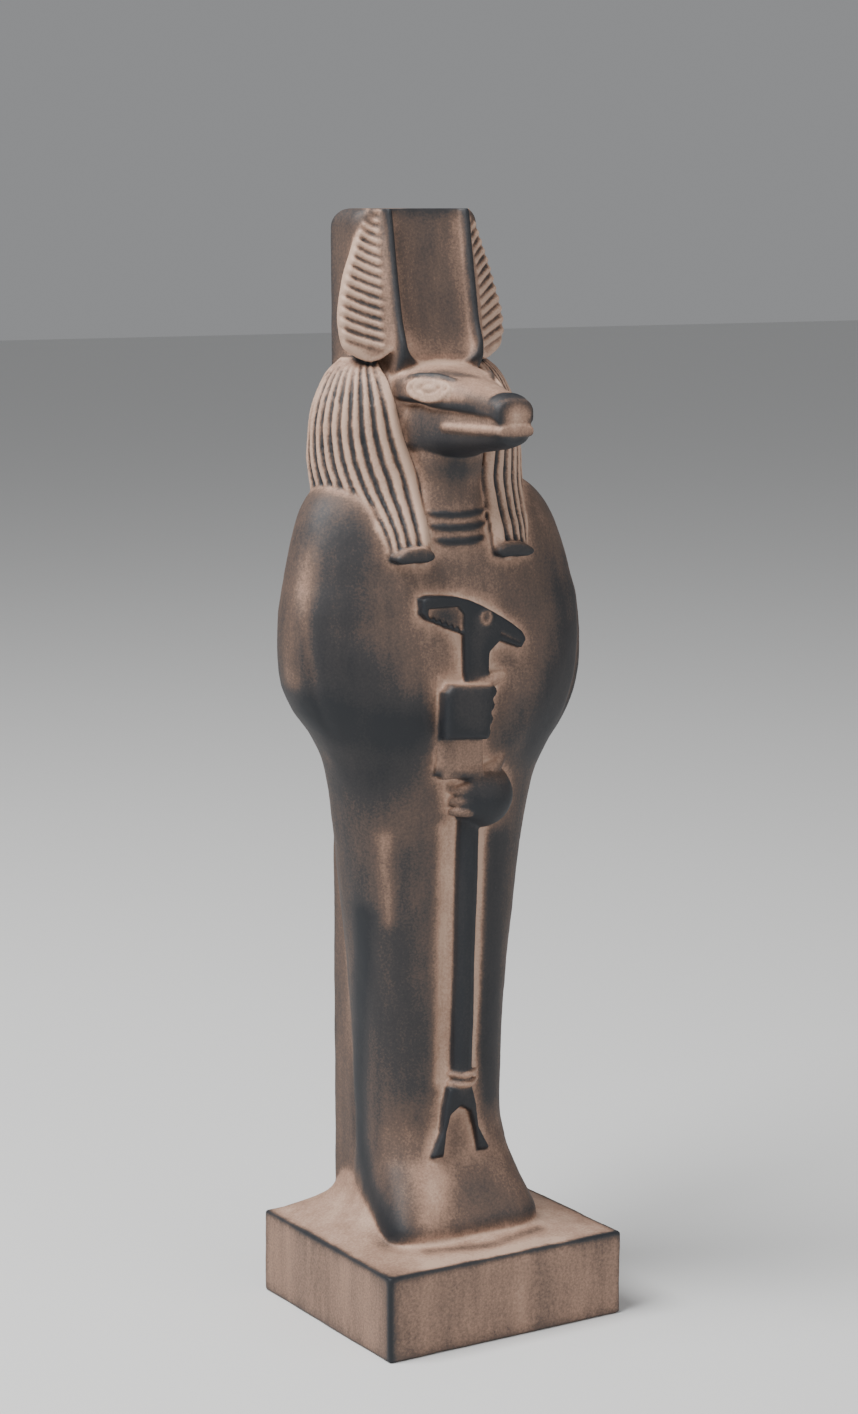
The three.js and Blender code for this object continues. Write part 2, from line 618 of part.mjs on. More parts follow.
// The sceptre: an animal's head, a shaft held by both fists, two rings and a forked foot
function makeSceptre() {
  const head = relief(sceptreHead, sceptreFront, sceptreBack, sceptreBevel);
  const crestCut = relief(crest, sceptreFront - 1, sceptreFront + crestDepth, 0);
  const comb = Array.from({ length: teeth.count }, (_, k) => {
    const x = teeth.x + k * teeth.stepX;
    const z = teeth.z + k * teeth.stepZ;
    const tooth = [[x - teeth.half, z + teeth.tall], [x, z], [x + teeth.half, z + teeth.tall]];
    return relief(tooth, sceptreFront - 0.1, sceptreFront + 2 * crestDepth, 0);
  });
  const shaft = bar(shaftPath, [shaftRadius, shaftRadius, shaftRadius], 8);
  const rings = ringHeights.map((z) => bar([
    [ring.x - ring.half, ring.back, z], [ring.x, ring.front, z], [ring.x + ring.half, ring.back, z],
  ], [ring.radius, ring.radius, ring.radius], 6));
  return joinAll([head.subtract(crestCut), ...comb, shaft, ...rings, makeFork()]);
}

// Two legs that curve outwards below the point where they part
function makeFork() {
  const middle = (fork.apex + fork.foot) / 2;
  const inner = fork.halfFoot - fork.leg;
  const side = (way) => [
    [way * fork.halfTop, fork.top], [way * fork.halfApex, fork.apex],
    [way * fork.halfMiddle, middle], [way * fork.halfFoot, fork.foot],
    [way * inner, fork.foot], [way * (inner - 1), middle], [way * (inner - 2.4), fork.apex - 2],
  ];
  const outline = [...side(-1), [0, fork.apex], ...side(1).reverse()];
  return relief(outline, fork.front, fork.front + fork.thickness, fork.bevel);
}

// The right fist stands upright, its knuckles on the far side of the shaft
function makeUpperFist() {
  const edge = fist.rightLow - 1;
  const block = relief([
    [fist.left, fist.bottom + 0.8], [edge, fist.bottom], [edge + 2, fist.top],
    [fist.left + 2, fist.top + 1.2], [fist.left, fist.top - 1],
  ], fist.front, fist.back, fist.bevel);
  const span = (fist.top - fist.bottom) / knuckles.count;
  const lean = (fist.rightTop - fist.rightLow) / (knuckles.count - 1);
  const bumps = Array.from({ length: knuckles.count }, (_, k) => {
    const x = fist.rightLow - knuckles.radius + lean * k;
    const z = fist.bottom + (k + 0.5) * span;
    const ends = [[x, fist.front + knuckles.behind, z], [x, fist.back, z]];
    return bar(ends, [knuckles.radius, knuckles.radius], 6);
  });
  return joinAll([block, ...bumps, bar(rightThumb.path, rightThumb.radii, 6)]);
}

// The left fist comes from the other side, fingertips round the shaft
function makeLowerFist() {
  const dome = new THREE.SphereGeometry(1, 12, 7);
  dome.scale(lowerFist.half, lowerFist.deep, lowerFist.tall);
  dome.translate(lowerFist.x, lowerFist.y, lowerFist.z);
  const fingers = fingerHeights.map((height) => {
    const path = finger.path.map(([x, y, z]) => [x, y, z + height]);
    return bar(path, finger.radii, 6);
  });
  const bars = [leftThumb, wristEdge].map(({ path, radii }) => bar(path, radii, 6));
  return joinAll([solidOf(dome), ...fingers, ...bars]);
}

function makeOpening() {
  const { left, right, bottom, top, front, back, bevel } = filling;
  const block = relief([[left, bottom], [right, bottom], [right, top], [left, top]],
    front, back, bevel);
  return block.add(bar(opening.path, opening.radii, 5));
}

// Everything is cast in one piece
function makeStatue() {
  const joined = joinAll([
    makeBase(), makePillar(), makeShroud(), makeNeck(), makeWig(), makeHems(),
    makeCrown(), makeHead(), makeSceptre(), makeUpperFist(), makeLowerFist(), makeOpening(),
  ]);
  const mesh = joined.getMesh();
  const geometry = new THREE.BufferGeometry();
  geometry.setAttribute('position', new THREE.BufferAttribute(mesh.vertProperties, 3));
  geometry.setIndex(new THREE.BufferAttribute(mesh.triVerts, 1));
  geometry.computeVertexNormals();
  return geometry;
}

const agedStone = new THREE.MeshStandardMaterial({ color: 0x75645b, roughness: 0.78, metalness: 0 });
const statue = new THREE.Mesh(makeStatue(), agedStone);
statue.name = 'statue';

const group = new THREE.Group();
group.add(statue);
export default group;
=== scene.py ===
import math

import bmesh
import bpy
import numpy as np
from mathutils import Euler, Matrix, Vector
from mathutils.bvhtree import BVHTree


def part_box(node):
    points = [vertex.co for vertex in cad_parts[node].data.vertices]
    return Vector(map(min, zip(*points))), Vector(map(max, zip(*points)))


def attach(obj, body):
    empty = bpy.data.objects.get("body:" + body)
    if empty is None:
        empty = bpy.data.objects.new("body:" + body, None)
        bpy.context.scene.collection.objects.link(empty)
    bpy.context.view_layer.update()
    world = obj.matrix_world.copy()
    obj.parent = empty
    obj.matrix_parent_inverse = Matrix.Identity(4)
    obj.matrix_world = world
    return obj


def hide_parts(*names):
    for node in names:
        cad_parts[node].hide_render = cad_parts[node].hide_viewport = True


# A cast souvenir statue of a standing jackal-headed figure. It is shaped in millimetres and made metres
# at the end. The figure faces -Y and its right hand is on the -X side.
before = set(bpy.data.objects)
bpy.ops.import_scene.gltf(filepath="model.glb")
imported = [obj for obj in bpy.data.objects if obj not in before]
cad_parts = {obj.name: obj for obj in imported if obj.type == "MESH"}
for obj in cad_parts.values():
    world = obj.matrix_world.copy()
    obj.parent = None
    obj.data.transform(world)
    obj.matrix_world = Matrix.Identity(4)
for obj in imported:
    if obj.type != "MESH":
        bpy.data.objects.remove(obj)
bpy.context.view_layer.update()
low, high = (corner / 0.001 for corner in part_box("statue"))
mm = 0.001
pieces = []
print("frame loaded, height", round(high.z), "mm")


def clearSelection():
    if bpy.context.object and bpy.context.object.mode != "OBJECT":
        bpy.ops.object.mode_set(mode="OBJECT")
    bpy.ops.object.select_all(action="DESELECT")


def keep(piece, name):
    bpy.ops.object.mode_set(mode="EDIT")
    bpy.ops.mesh.select_all(action="SELECT")
    bpy.ops.mesh.remove_doubles(threshold=0.001)
    bpy.ops.mesh.normals_make_consistent(inside=False)
    bpy.ops.object.mode_set(mode="OBJECT")
    piece.name = name
    pieces.append(piece)
    return piece


# a smooth value from rows of settings, at any place between them, that never overshoots
def valueAt(rows, along, key, place):
    places = [row[along] for row in rows]
    values = [row[key] for row in rows]
    rising = places[-1] > places[0]
    i = sum(1 for p in places if (p <= place if rising else p >= place)) - 1
    i = min(max(i, 0), len(rows) - 2)
    steps = [(values[k + 1] - values[k]) / (places[k + 1] - places[k]) for k in range(len(rows) - 1)]

    def lean(k):
        if k == 0 or k == len(rows) - 1:
            return steps[min(k, len(steps) - 1)]
        before, after = steps[k - 1], steps[k]
        return 0 if before * after <= 0 else 2 * before * after / (before + after)

    width = places[i + 1] - places[i]
    t = min(max((place - places[i]) / width, 0), 1)
    ease = t * t * (3 - 2 * t)
    bend = t * (1 - t) * width * ((1 - t) * lean(i) - t * lean(i + 1))
    return values[i] * (1 - ease) + values[i + 1] * ease + bend


def rowAt(rows, along, place):
    return {key: place if key == along else valueAt(rows, along, key, place) for key in rows[0]}


def steps(start, end, size):
    return np.linspace(start, end, max(2, round(abs(end - start) / size) + 1))


def ease(value, start, end):
    t = np.clip((value - start) / (end - start), 0, 1)
    return t * t * (3 - 2 * t)


# a ring of points is extruded again and again, and each new ring takes its own outline
def growPiece(name, places, outline):
    first = outline(places[0])
    clearSelection()
    bpy.ops.mesh.primitive_circle_add(vertices=len(first), radius=10, fill_type="NGON")
    piece = bpy.context.object
    bpy.ops.object.mode_set(mode="EDIT")
    mesh = bmesh.from_edit_mesh(piece.data)
    order = mesh.verts.layers.int.new("order")
    for vert in mesh.verts:
        vert[order] = vert.index
    for k, place in enumerate(places):
        if k:
            bpy.ops.mesh.extrude_region_move(TRANSFORM_OT_translate={"value": (0, 0, 1)})
        points = outline(place)
        mesh = bmesh.from_edit_mesh(piece.data)
        order = mesh.verts.layers.int["order"]
        for vert in mesh.verts:
            if vert.select:
                vert.co = points[vert[order]]
    bmesh.update_edit_mesh(piece.data)
    bpy.ops.object.mode_set(mode="OBJECT")
    return keep(piece, name)


# a round rod through points, with a radius at each of them
def bendRod(name, points, radii, closed=False, flat=None):
    clearSelection()
    bpy.ops.curve.primitive_bezier_curve_add()
    rod = bpy.context.object
    rod.data.dimensions = "3D"
    knots = rod.data.splines[0].bezier_points
    knots.add(len(points) - len(knots))
    for knot, point, radius in zip(knots, points, radii):
        knot.handle_left_type = knot.handle_right_type = "AUTO"
        knot.co = point
        knot.radius = radius
    rod.data.splines[0].use_cyclic_u = closed
    rod.data.bevel_depth = 1
    rod.data.bevel_resolution = 3
    rod.data.splines[0].resolution_u = 10
    rod.data.use_fill_caps = True
    bpy.ops.object.convert(target="MESH")
    return keep(bpy.context.object, name)


# a flat outline in the XZ plane, thick along Y, with softened edges
def cutPlate(name, outline, front, back, bevel, corner="VECTOR"):
    clearSelection()
    bpy.ops.curve.primitive_bezier_circle_add()
    plate = bpy.context.object
    plate.data.dimensions = "2D"
    knots = plate.data.splines[0].bezier_points
    if len(outline) > len(knots):
        knots.add(len(outline) - len(knots))
    for knot, (x, z) in zip(knots, outline):
        knot.handle_left_type = knot.handle_right_type = corner
        knot.co = (x, z, 0)
    plate.data.splines[0].resolution_u = 6
    plate.data.fill_mode = "BOTH"
    plate.data.extrude = (back - front) / 2 - bevel
    plate.data.bevel_depth = bevel
    plate.data.bevel_resolution = 2
    plate.data.offset = -bevel
    plate.rotation_euler = (math.pi / 2, 0, 0)
    plate.location = (0, (front + back) / 2, 0)
    bpy.ops.object.convert(target="MESH")
    bpy.ops.object.transform_apply(location=True, rotation=True, scale=True)
    return keep(bpy.context.object, name)


def addBall(name, centre, size, turn=(0, 0, 0)):
    clearSelection()
    bpy.ops.mesh.primitive_uv_sphere_add(
        segments=40, ring_count=24, radius=1, location=centre, rotation=turn, scale=size)
    bpy.ops.object.transform_apply(location=True, rotation=True, scale=True)
    return keep(bpy.context.object, name)


# an outline between an ellipse (square 2) and a rectangle
def oval(half, front, back, square, count):
    turn = 2 * math.pi * (np.arange(count) + 0.5) / count
    x = half * np.sign(np.cos(turn)) * np.abs(np.cos(turn)) ** (2 / square)
    y = np.sign(np.sin(turn)) * np.abs(np.sin(turn)) ** (2 / square)
    return x, (front + back) / 2 + (back - front) / 2 * y


# a rectangle with round corners
def boxOutline(half, front, back, frontRadius, backRadius, perCorner=8, perSide=8):
    points = []
    corners = [(1, 1, backRadius), (-1, 1, backRadius), (-1, -1, frontRadius), (1, -1, frontRadius)]
    for k, (sideX, sideY, radius) in enumerate(corners):
        cx = sideX * (half - radius)
        cy = back - radius if sideY > 0 else front + radius
        for angle in np.linspace(k * math.pi / 2, (k + 1) * math.pi / 2, perCorner):
            points.append((cx + radius * math.cos(angle), cy + radius * math.sin(angle)))
    dense = []
    for k, (x, y) in enumerate(points):
        nextX, nextY = points[(k + 1) % len(points)]
        parts = perSide if (k + 1) % perCorner == 0 else 1
        for part in range(parts):
            share = part / parts
            dense.append((x + (nextX - x) * share, y + (nextY - y) * share))
    return np.array(dense)


base = {"width": 73.9, "depth": 68, "height": 23.3, "corner": 1.4, "edge": 0.6}


def makeBase():
    clearSelection()
    bpy.ops.mesh.primitive_cube_add(
        size=1, location=(0, 0, base["height"] / 2), scale=(base["width"], base["depth"], base["height"]))
    piece = bpy.context.object
    bpy.ops.object.transform_apply(location=True, rotation=True, scale=True)
    bpy.ops.object.mode_set(mode="EDIT")
    for upright, offset in ((True, base["corner"]), (False, base["edge"])):
        bpy.ops.mesh.select_all(action="DESELECT")
        mesh = bmesh.from_edit_mesh(piece.data)
        for edge in mesh.edges:
            a, b = (vert.co for vert in edge.verts)
            standing = abs(a.z - b.z) > 1
            rim = not standing and abs(edge.calc_face_angle(0)) > 1
            edge.select_set(standing and upright or rim and not upright)
        mesh.select_flush(True)
        if upright:
            bmesh.update_edit_mesh(piece.data)
        bpy.ops.mesh.bevel(offset=offset, segments=4, affect="EDGES")
    bpy.ops.object.mode_set(mode="OBJECT")
    keep(piece, "base")


# the hollow slope from the base's rim up to the feet and the slab
slope = {"half": 19.4, "front": -16, "back": 24.5, "radius": 6, "frontRise": 2.8, "backRise": 14,
         "fullRiseAt": 6, "steady": 0.5, "power": 1.25, "fillet": 9}


def makeSlope():
    rim = base["edge"]
    start = {"half": base["width"] / 2 - rim, "front": rim - base["depth"] / 2,
             "back": base["depth"] / 2 - rim, "radius": base["corner"]}

    def outline(share):
        size = {key: start[key] + (slope[key] - start[key]) * max(share, 0) for key in start}
        flat = boxOutline(size["half"], size["front"], size["back"], size["radius"], size["radius"], 8, 12)
        rise = slope["frontRise"] + (slope["backRise"] - slope["frontRise"]) * ease(
            flat[:, 1], slope["front"], slope["fullRiseAt"])
        climb = max(share, 0)
        height = base["height"] - 0.1 + rise * (slope["steady"] * climb ** slope["power"]
                                                + (1 - slope["steady"]) * climb ** slope["fillet"])
        if share < 0:
            height = np.full(len(flat), base["height"] - 3)
        return np.column_stack([flat, height])

    growPiece("slope", [-1, *np.linspace(0, 0.8, 12), *np.linspace(0.82, 1, 14)], outline)


slab = {"half": 19.6, "front": 10, "back": 25.5, "topRound": 5, "frontRadius": 5, "backRadius": 1.6}


def makeSlab():
    def outline(angle):
        inset = slab["topRound"] * (1 - math.cos(angle)) if angle > 0 else 0
        flat = boxOutline(slab["half"] - inset * 0.7, slab["front"], slab["back"] - inset,
                          slab["frontRadius"], slab["backRadius"])
        height = high.z - slab["topRound"] * (1 - math.sin(angle)) if angle >= 0 else base["height"] - 3
        return np.column_stack([flat, np.full(len(flat), height)])

    growPiece("slab", [-1, *np.linspace(0, math.pi / 2, 10)], outline)


# the shroud from the toes to the shoulders; the feet are narrower at the back
shroudRows = [
    {"z": 21, "half": 26, "front": -19.6, "back": 22, "square": 5, "narrow": 0.24, "shift": 0},
    {"z": 27.5, "half": 25.6, "front": -19.2, "back": 22, "square": 5, "narrow": 0.24, "shift": 0},
    {"z": 31, "half": 24.8, "front": -17.6, "back": 22, "square": 4.8, "narrow": 0.22, "shift": 0},
    {"z": 35.5, "half": 23.4, "front": -15, "back": 22, "square": 4.3, "narrow": 0.18, "shift": 0},
    {"z": 40, "half": 22.2, "front": -12.2, "back": 22, "square": 3.6, "narrow": 0.12, "shift": 0},
    {"z": 45, "half": 21, "front": -9.6, "back": 22, "square": 3, "narrow": 0.06, "shift": 0},
    {"z": 53, "half": 20.4, "front": -8.2, "back": 22.5, "square": 2.6, "narrow": 0.02, "shift": 0},
    {"z": 68, "half": 20.7, "front": -8, "back": 23, "square": 2.5, "narrow": 0, "shift": 0},
    {"z": 90, "half": 21.9, "front": -8.9, "back": 23.4, "square": 2.5, "narrow": 0, "shift": 0},
    {"z": 111, "half": 24.3, "front": -9.4, "back": 23.6, "square": 2.5, "narrow": 0, "shift": 0},
    {"z": 133, "half": 27.6, "front": -9.8, "back": 23, "square": 2.4, "narrow": 0, "shift": 0.2},
    {"z": 146, "half": 30.2, "front": -10.4, "back": 22, "square": 2.4, "narrow": 0, "shift": 0.4},
    {"z": 155, "half": 33.6, "front": -11.6, "back": 21, "square": 2.4, "narrow": 0, "shift": 1},
    {"z": 162, "half": 38.2, "front": -12.4, "back": 20.5, "square": 2.4, "narrow": 0, "shift": 1.4},
    {"z": 169, "half": 42.7, "front": -12.8, "back": 22, "square": 2.4, "narrow": 0, "shift": 1},
    {"z": 176, "half": 45, "front": -13, "back": 23.5, "square": 2.4, "narrow": 0, "shift": 0.5},
    {"z": 184, "half": 45.7, "front": -12.9, "back": 22.8, "square": 2.4, "narrow": 0, "shift": 0},
    {"z": 194, "half": 45.1, "front": -12.4, "back": 23.2, "square": 2.4, "narrow": 0, "shift": 0},
    {"z": 204, "half": 43, "front": -11.2, "back": 24, "square": 2.3, "narrow": 0, "shift": 0},
    {"z": 213, "half": 40.4, "front": -9.4, "back": 24, "square": 2.3, "narrow": 0, "shift": 0},
    {"z": 220, "half": 37.6, "front": -6.8, "back": 24, "square": 2.3, "narrow": 0, "shift": 0},
    {"z": 226, "half": 33, "front": -2.6, "back": 23, "square": 2.3, "narrow": 0, "shift": 0},
    {"z": 230, "half": 26, "front": 2, "back": 21, "square": 2.2, "narrow": 0, "shift": 0},
]
forearm = {"swell": 2, "halfHeight": 12, "full": 17, "fade": 24, "end": 44}
rightForearm = {"wrist": 167, "climb": 0.3}
leftForearm = {"wrist": 150, "climb": 0.85}
shaftChannel = {"beside": 5.3, "width": 1.9, "depth": 1.2}
sleeveCrease = {"low": 0.91, "high": 0.98, "width": 0.022, "depth": 0.8}
toeRound = 4.5


def makeShroud():
    def outline(z):
        row = rowAt(shroudRows, "z", z)
        x, y = oval(row["half"], row["front"], row["back"], row["square"], 144)
        depth = row["back"] - row["front"]
        rounder = np.where(x > 0, toeRound * (1 - ease(z, 34, 48)) * (x / row["half"]) ** 6, 0)
        onFront = y < row["front"] + depth / 2
        y = y + np.where(onFront, rounder, 0)
        x = x * (1 - row["narrow"] * (y - row["front"]) / depth) + row["shift"]
        out = np.abs(x)
        wrist = np.where(x < 0, rightForearm["wrist"], leftForearm["wrist"])
        climb = np.where(x < 0, rightForearm["climb"], leftForearm["climb"])
        near = ease(out, 0, forearm["full"])
        far = 1 - ease(out, forearm["fade"], forearm["end"])
        bulge = np.exp(-((z - wrist - climb * out) / forearm["halfHeight"]) ** 2)
        y = y - np.where(onFront, forearm["swell"] * near * far * bulge, 0)
        beside = np.abs(np.abs(x - shaftCentre(z)) - shaftChannel["beside"]) / shaftChannel["width"]
        fade = ease(z, 58, 72) * (1 - ease(z, 132, 142))
        y = y + np.where(onFront, shaftChannel["depth"] * np.exp(-beside ** 2) * fade, 0)
        place = sleeveCrease["low"] + (sleeveCrease["high"] - sleeveCrease["low"]) * np.clip((z - 177) / 33, 0, 1)
        crease = np.exp(-((out / row["half"] - place) / sleeveCrease["width"]) ** 2)
        y = y + np.where(onFront, sleeveCrease["depth"] * crease * ease(z, 158, 170) * (1 - ease(z, 208, 218)), 0)
        return np.column_stack([x, y, np.full(len(x), z)])

    growPiece("shroud", steps(21, 230, 1.5), outline)


neckRows = [
    {"z": 205, "half": 10.6, "front": -9.6}, {"z": 213, "half": 11.8, "front": -10.4},
    {"z": 222, "half": 11.6, "front": -9.3}, {"z": 228, "half": 10.6, "front": -8.8},
    {"z": 233, "half": 10.4, "front": -10.2}, {"z": 240, "half": 10.8, "front": -11.4},
]
collar = {"heights": [213.9, 217.4, 220.8], "half": 9.2, "radius": 1.1, "sag": 0.8, "curve": 2}


def makeNeck():
    def outline(z):
        row = rowAt(neckRows, "z", z)
        x, y = oval(row["half"], row["front"], 12, 2.6, 64)
        return np.column_stack([x, y, np.full(len(x), z)])

    growPiece("neck", steps(205, 240, 1), outline)
    for k, z in enumerate(collar["heights"]):
        front = valueAt(neckRows, "z", "front", z) + 0.35
        across = [-1, -0.5, 0, 0.5, 1]
        points = [(collar["half"] * share, front + collar["curve"] * share ** 2,
                   z - collar["sag"] * (1 - share ** 2)) for share in across]
        thick = collar["radius"]
        bendRod(f"collar{k}", points, [thick * 0.45, thick, thick, thick, thick * 0.45])


wigRows = [
    {"z": 210.6, "half": 28.8, "front": -12.3, "back": 17, "square": 3.7, "inner": 10.2, "outer": 20.9},
    {"z": 216, "half": 29.6, "front": -11.1, "back": 17, "square": 3.2, "inner": 10.1, "outer": 21.6},
    {"z": 220, "half": 30.3, "front": -9.4, "back": 17, "square": 2.8, "inner": 10, "outer": 22.3},
    {"z": 228, "half": 31.2, "front": -6.5, "back": 20, "square": 2.3, "inner": 10, "outer": 24.2},
    {"z": 235, "half": 31.8, "front": -5.6, "back": 23.8, "square": 2.1, "inner": 11.8, "outer": 25.6},
    {"z": 242, "half": 31.4, "front": -5.3, "back": 23.8, "square": 2, "inner": 13.8, "outer": 26},
    {"z": 248, "half": 30.2, "front": -4.6, "back": 23.8, "square": 2, "inner": 14.8, "outer": 25.4},
    {"z": 254, "half": 27.6, "front": -2.2, "back": 23.8, "square": 2, "inner": 15.4, "outer": 23.8},
    {"z": 257.5, "half": 25.4, "front": 1.4, "back": 23.8, "square": 2, "inner": 15.4, "outer": 22},
    {"z": 261, "half": 21, "front": 6.6, "back": 23.8, "square": 2, "inner": 14.6, "outer": 18.6},
]
wig = {"middle": 15.2, "lappetStrands": 4, "sideStrands": 13, "rise": 0.45, "dip": 0.95, "end": 17,
       "perStrand": 10, "smoothFrom": 246, "smoothTo": 254, "sink": 2.6}


# where a point of the wig's outline lies, its way round counted from the front, and its strand there
def wigOutline(z):
    row = rowAt(wigRows, "z", z)
    reachFront, reachBack = wig["middle"] - row["front"], row["back"] - wig["middle"]

    def turn(x):
        return math.asin(min(x / row["half"], 1) ** (row["square"] / 2))

    def at(angle, rise):
        reach = -reachFront if angle < math.pi / 2 else reachBack
        x = row["half"] * math.sin(angle) ** (2 / row["square"])
        y = wig["middle"] + reach * abs(math.cos(angle)) ** (2 / row["square"])
        out = Vector((x / row["half"] ** 2, (y - wig["middle"]) / reach ** 2)).normalized()
        return (x + rise * out.x, y + rise * out.y)

    edges = [turn(row["inner"]), turn(row["outer"]), math.pi - turn(wig["end"])]
    side = [(row["inner"] * 0.55, row["front"] + 9), (row["inner"] - 0.6, at(edges[0], 0)[1] + 4)]
    for part, strands in enumerate((wig["lappetStrands"], wig["sideStrands"])):
        for k in range(strands):
            plain = ease(z, wig["smoothFrom"], wig["smoothTo"]) if part == 0 and k < 1 else 0
            for step in range(wig["perStrand"]):
                phase = step / wig["perStrand"]
                ridge = 1 - abs(2 * phase - 1) ** (2 if part == 0 else 2.8)
                rise = (wig["rise"] + wig["dip"]) * ridge - wig["dip"]
                if part == 1:
                    rise -= wig["sink"] * (1 - ease(z, 210, 218)) * min((k + phase) / 1.5, 1)
                place = edges[part] + (edges[part + 1] - edges[part]) * (k + phase) / strands
                side.append(at(place, rise * (1 - plain) + 0.3 * plain))
    side.append(at(edges[2], -wig["dip"]))
    points = [(x, y, z) for x, y in side] + [(-x, y, z) for x, y in reversed(side)]
    return np.array(points)


def makeWig():
    growPiece("wig", steps(210.6, 261, 0.8), wigOutline)


# behind the face the gap to the wig is filled
temple = {"bottom": 224, "top": 261, "wider": 1.3, "behind": 1.2}


def makeTemples():
    def outline(z):
        row = rowAt(wigRows, "z", z)
        share = (row["inner"] / row["half"]) ** row["square"]
        front = wig["middle"] - (wig["middle"] - row["front"]) * (1 - share) ** (1 / row["square"])
        x, y = oval(row["inner"] + temple["wider"], front + temple["behind"], 20, 5, 64)
        return np.column_stack([x, y, np.full(len(x), z)])

    growPiece("temples", steps(temple["bottom"], temple["top"], 2), outline)


hem = {"bottom": 208.4, "top": 212.3, "proud": 1.2, "round": 1.2}


def makeHems():
    row = rowAt(wigRows, "z", hem["bottom"])
    left, right = row["inner"] - 0.4, row["outer"] + 0.6
    middle = (left + right) / 2
    outline = [(left + hem["round"], hem["bottom"] + 0.2), (middle, hem["bottom"]),
               (right - hem["round"], hem["bottom"]), (right, hem["bottom"] + 0.9),
               (right - 1.6, hem["top"] - 1.2), (middle, hem["top"]),
               (left + 1.4, hem["top"] - 0.7), (left, hem["bottom"] + 1.2)]
    for name, side in (("hemLeft", 1), ("hemRight", -1)):
        cutPlate(name, [(side * x, z) for x, z in outline], row["front"] - hem["proud"], -6, 1, "AUTO")


# the field between the ears with a bead on either side, down to the forehead
crownRows = [
    {"z": 252, "panel": 6, "bead": 7, "hollow": 9, "rimX": 19, "rimY": 12},
    {"z": 259.6, "panel": 0.4, "bead": -0.6, "hollow": 5.6, "rimX": 21, "rimY": 9},
    {"z": 261.4, "panel": 0.4, "bead": -1.3, "hollow": 2.6, "rimX": 23.4, "rimY": 8},
    {"z": 264, "panel": 1.2, "bead": -1.2, "hollow": 1.9, "rimX": 24.9, "rimY": 8.4},
    {"z": 270, "panel": 3, "bead": 0.8, "hollow": 2.6, "rimX": 25.5, "rimY": 9.3},
    {"z": 280, "panel": 4.9, "bead": 2.9, "hollow": 3.9, "rimX": 23.6, "rimY": 10.5},
    {"z": 290, "panel": 6.6, "bead": 4.6, "hollow": 6.2, "rimX": 20.2, "rimY": 10.9},
    {"z": 296, "panel": 7.6, "bead": 5.5, "hollow": 8, "rimX": 17.9, "rimY": 11.3},
    {"z": 300, "panel": 8.2, "bead": 6.2, "hollow": 9.2, "rimX": 16.2, "rimY": 12},
]
crown = {"panelHalf": 10.3, "panelDip": 0.7, "beadInner": 11, "beadOuter": 12.9, "roundFrom": 265.5, "round": 6.2}


def makeCrown():
    def outline(z):
        row = rowAt(crownRows, "z", z)
        side = []
        below = min(max((crown["roundFrom"] - z) / crown["round"], 0), 1)
        narrow = crown["round"] * (1 - math.sqrt(1 - below ** 2))
        for share in np.linspace(0.04, 1, 14):
            side.append(((crown["panelHalf"] - narrow) * share, row["panel"] + crown["panelDip"] * (1 - share ** 2)))
        inner, outer = crown["beadInner"] - narrow, crown["beadOuter"]
        centre, radius = (inner + outer) / 2, (outer - inner) / 2
        for angle in np.linspace(math.pi, 0, 9):
            side.append((centre + radius * math.cos(angle), row["bead"] + 0.9 - 1.1 * math.sin(angle)))
        side += [(outer + 0.3, row["hollow"] + 1.5), (outer + 0.3, slab["back"] - 4), (4, slab["back"] - 4)]
        points = [(x, y, z) for x, y in side] + [(-x, y, z) for x, y in reversed(side)]
        return np.array(points)

    growPiece("crown", steps(252, 300, 1), outline)


ear = {"bottom": 259.9, "inner": 13.3, "rim": 1.1, "back": 3.2, "dip": 0.9}
earTips = [
    {"rise": 0, "inner": 4.4, "outer": -5.6}, {"rise": 0.4, "inner": 3, "outer": -3.9},
    {"rise": 1.2, "inner": 1.7, "outer": -2.3}, {"rise": 2.4, "inner": 0.7, "outer": -1},
    {"rise": 4.2, "inner": 0.1, "outer": -0.1}, {"rise": 6, "inner": 0, "outer": 0},
    {"rise": 60, "inner": 0, "outer": 0},
]
rib = {"first": 263.4, "pitch": 2.72, "lean": 0.3, "leanMore": 0.28, "over": 35, "height": 1.35, "from": 0.13,
       "full": 0.24}


# how far the ribs stand out inside an ear, at a share of the way from its inner edge to its rim
def ribRise(share, z, width):
    lean = np.tan(rib["lean"] + rib["leanMore"] * np.clip((z - rib["first"]) / rib["over"], 0, 1))
    along = z - lean * share * width * (0.85 + 0.15 * share)
    wave = 0.5 - 0.5 * np.cos(2 * math.pi * (along - rib["first"] + rib["pitch"] / 2) / rib["pitch"])
    inside = ease(share, rib["from"], rib["full"]) * ease(along, rib["first"] - 2.4, rib["first"] - 1.2)
    return (rib["height"] * wave ** 0.7 - 0.35) * inside


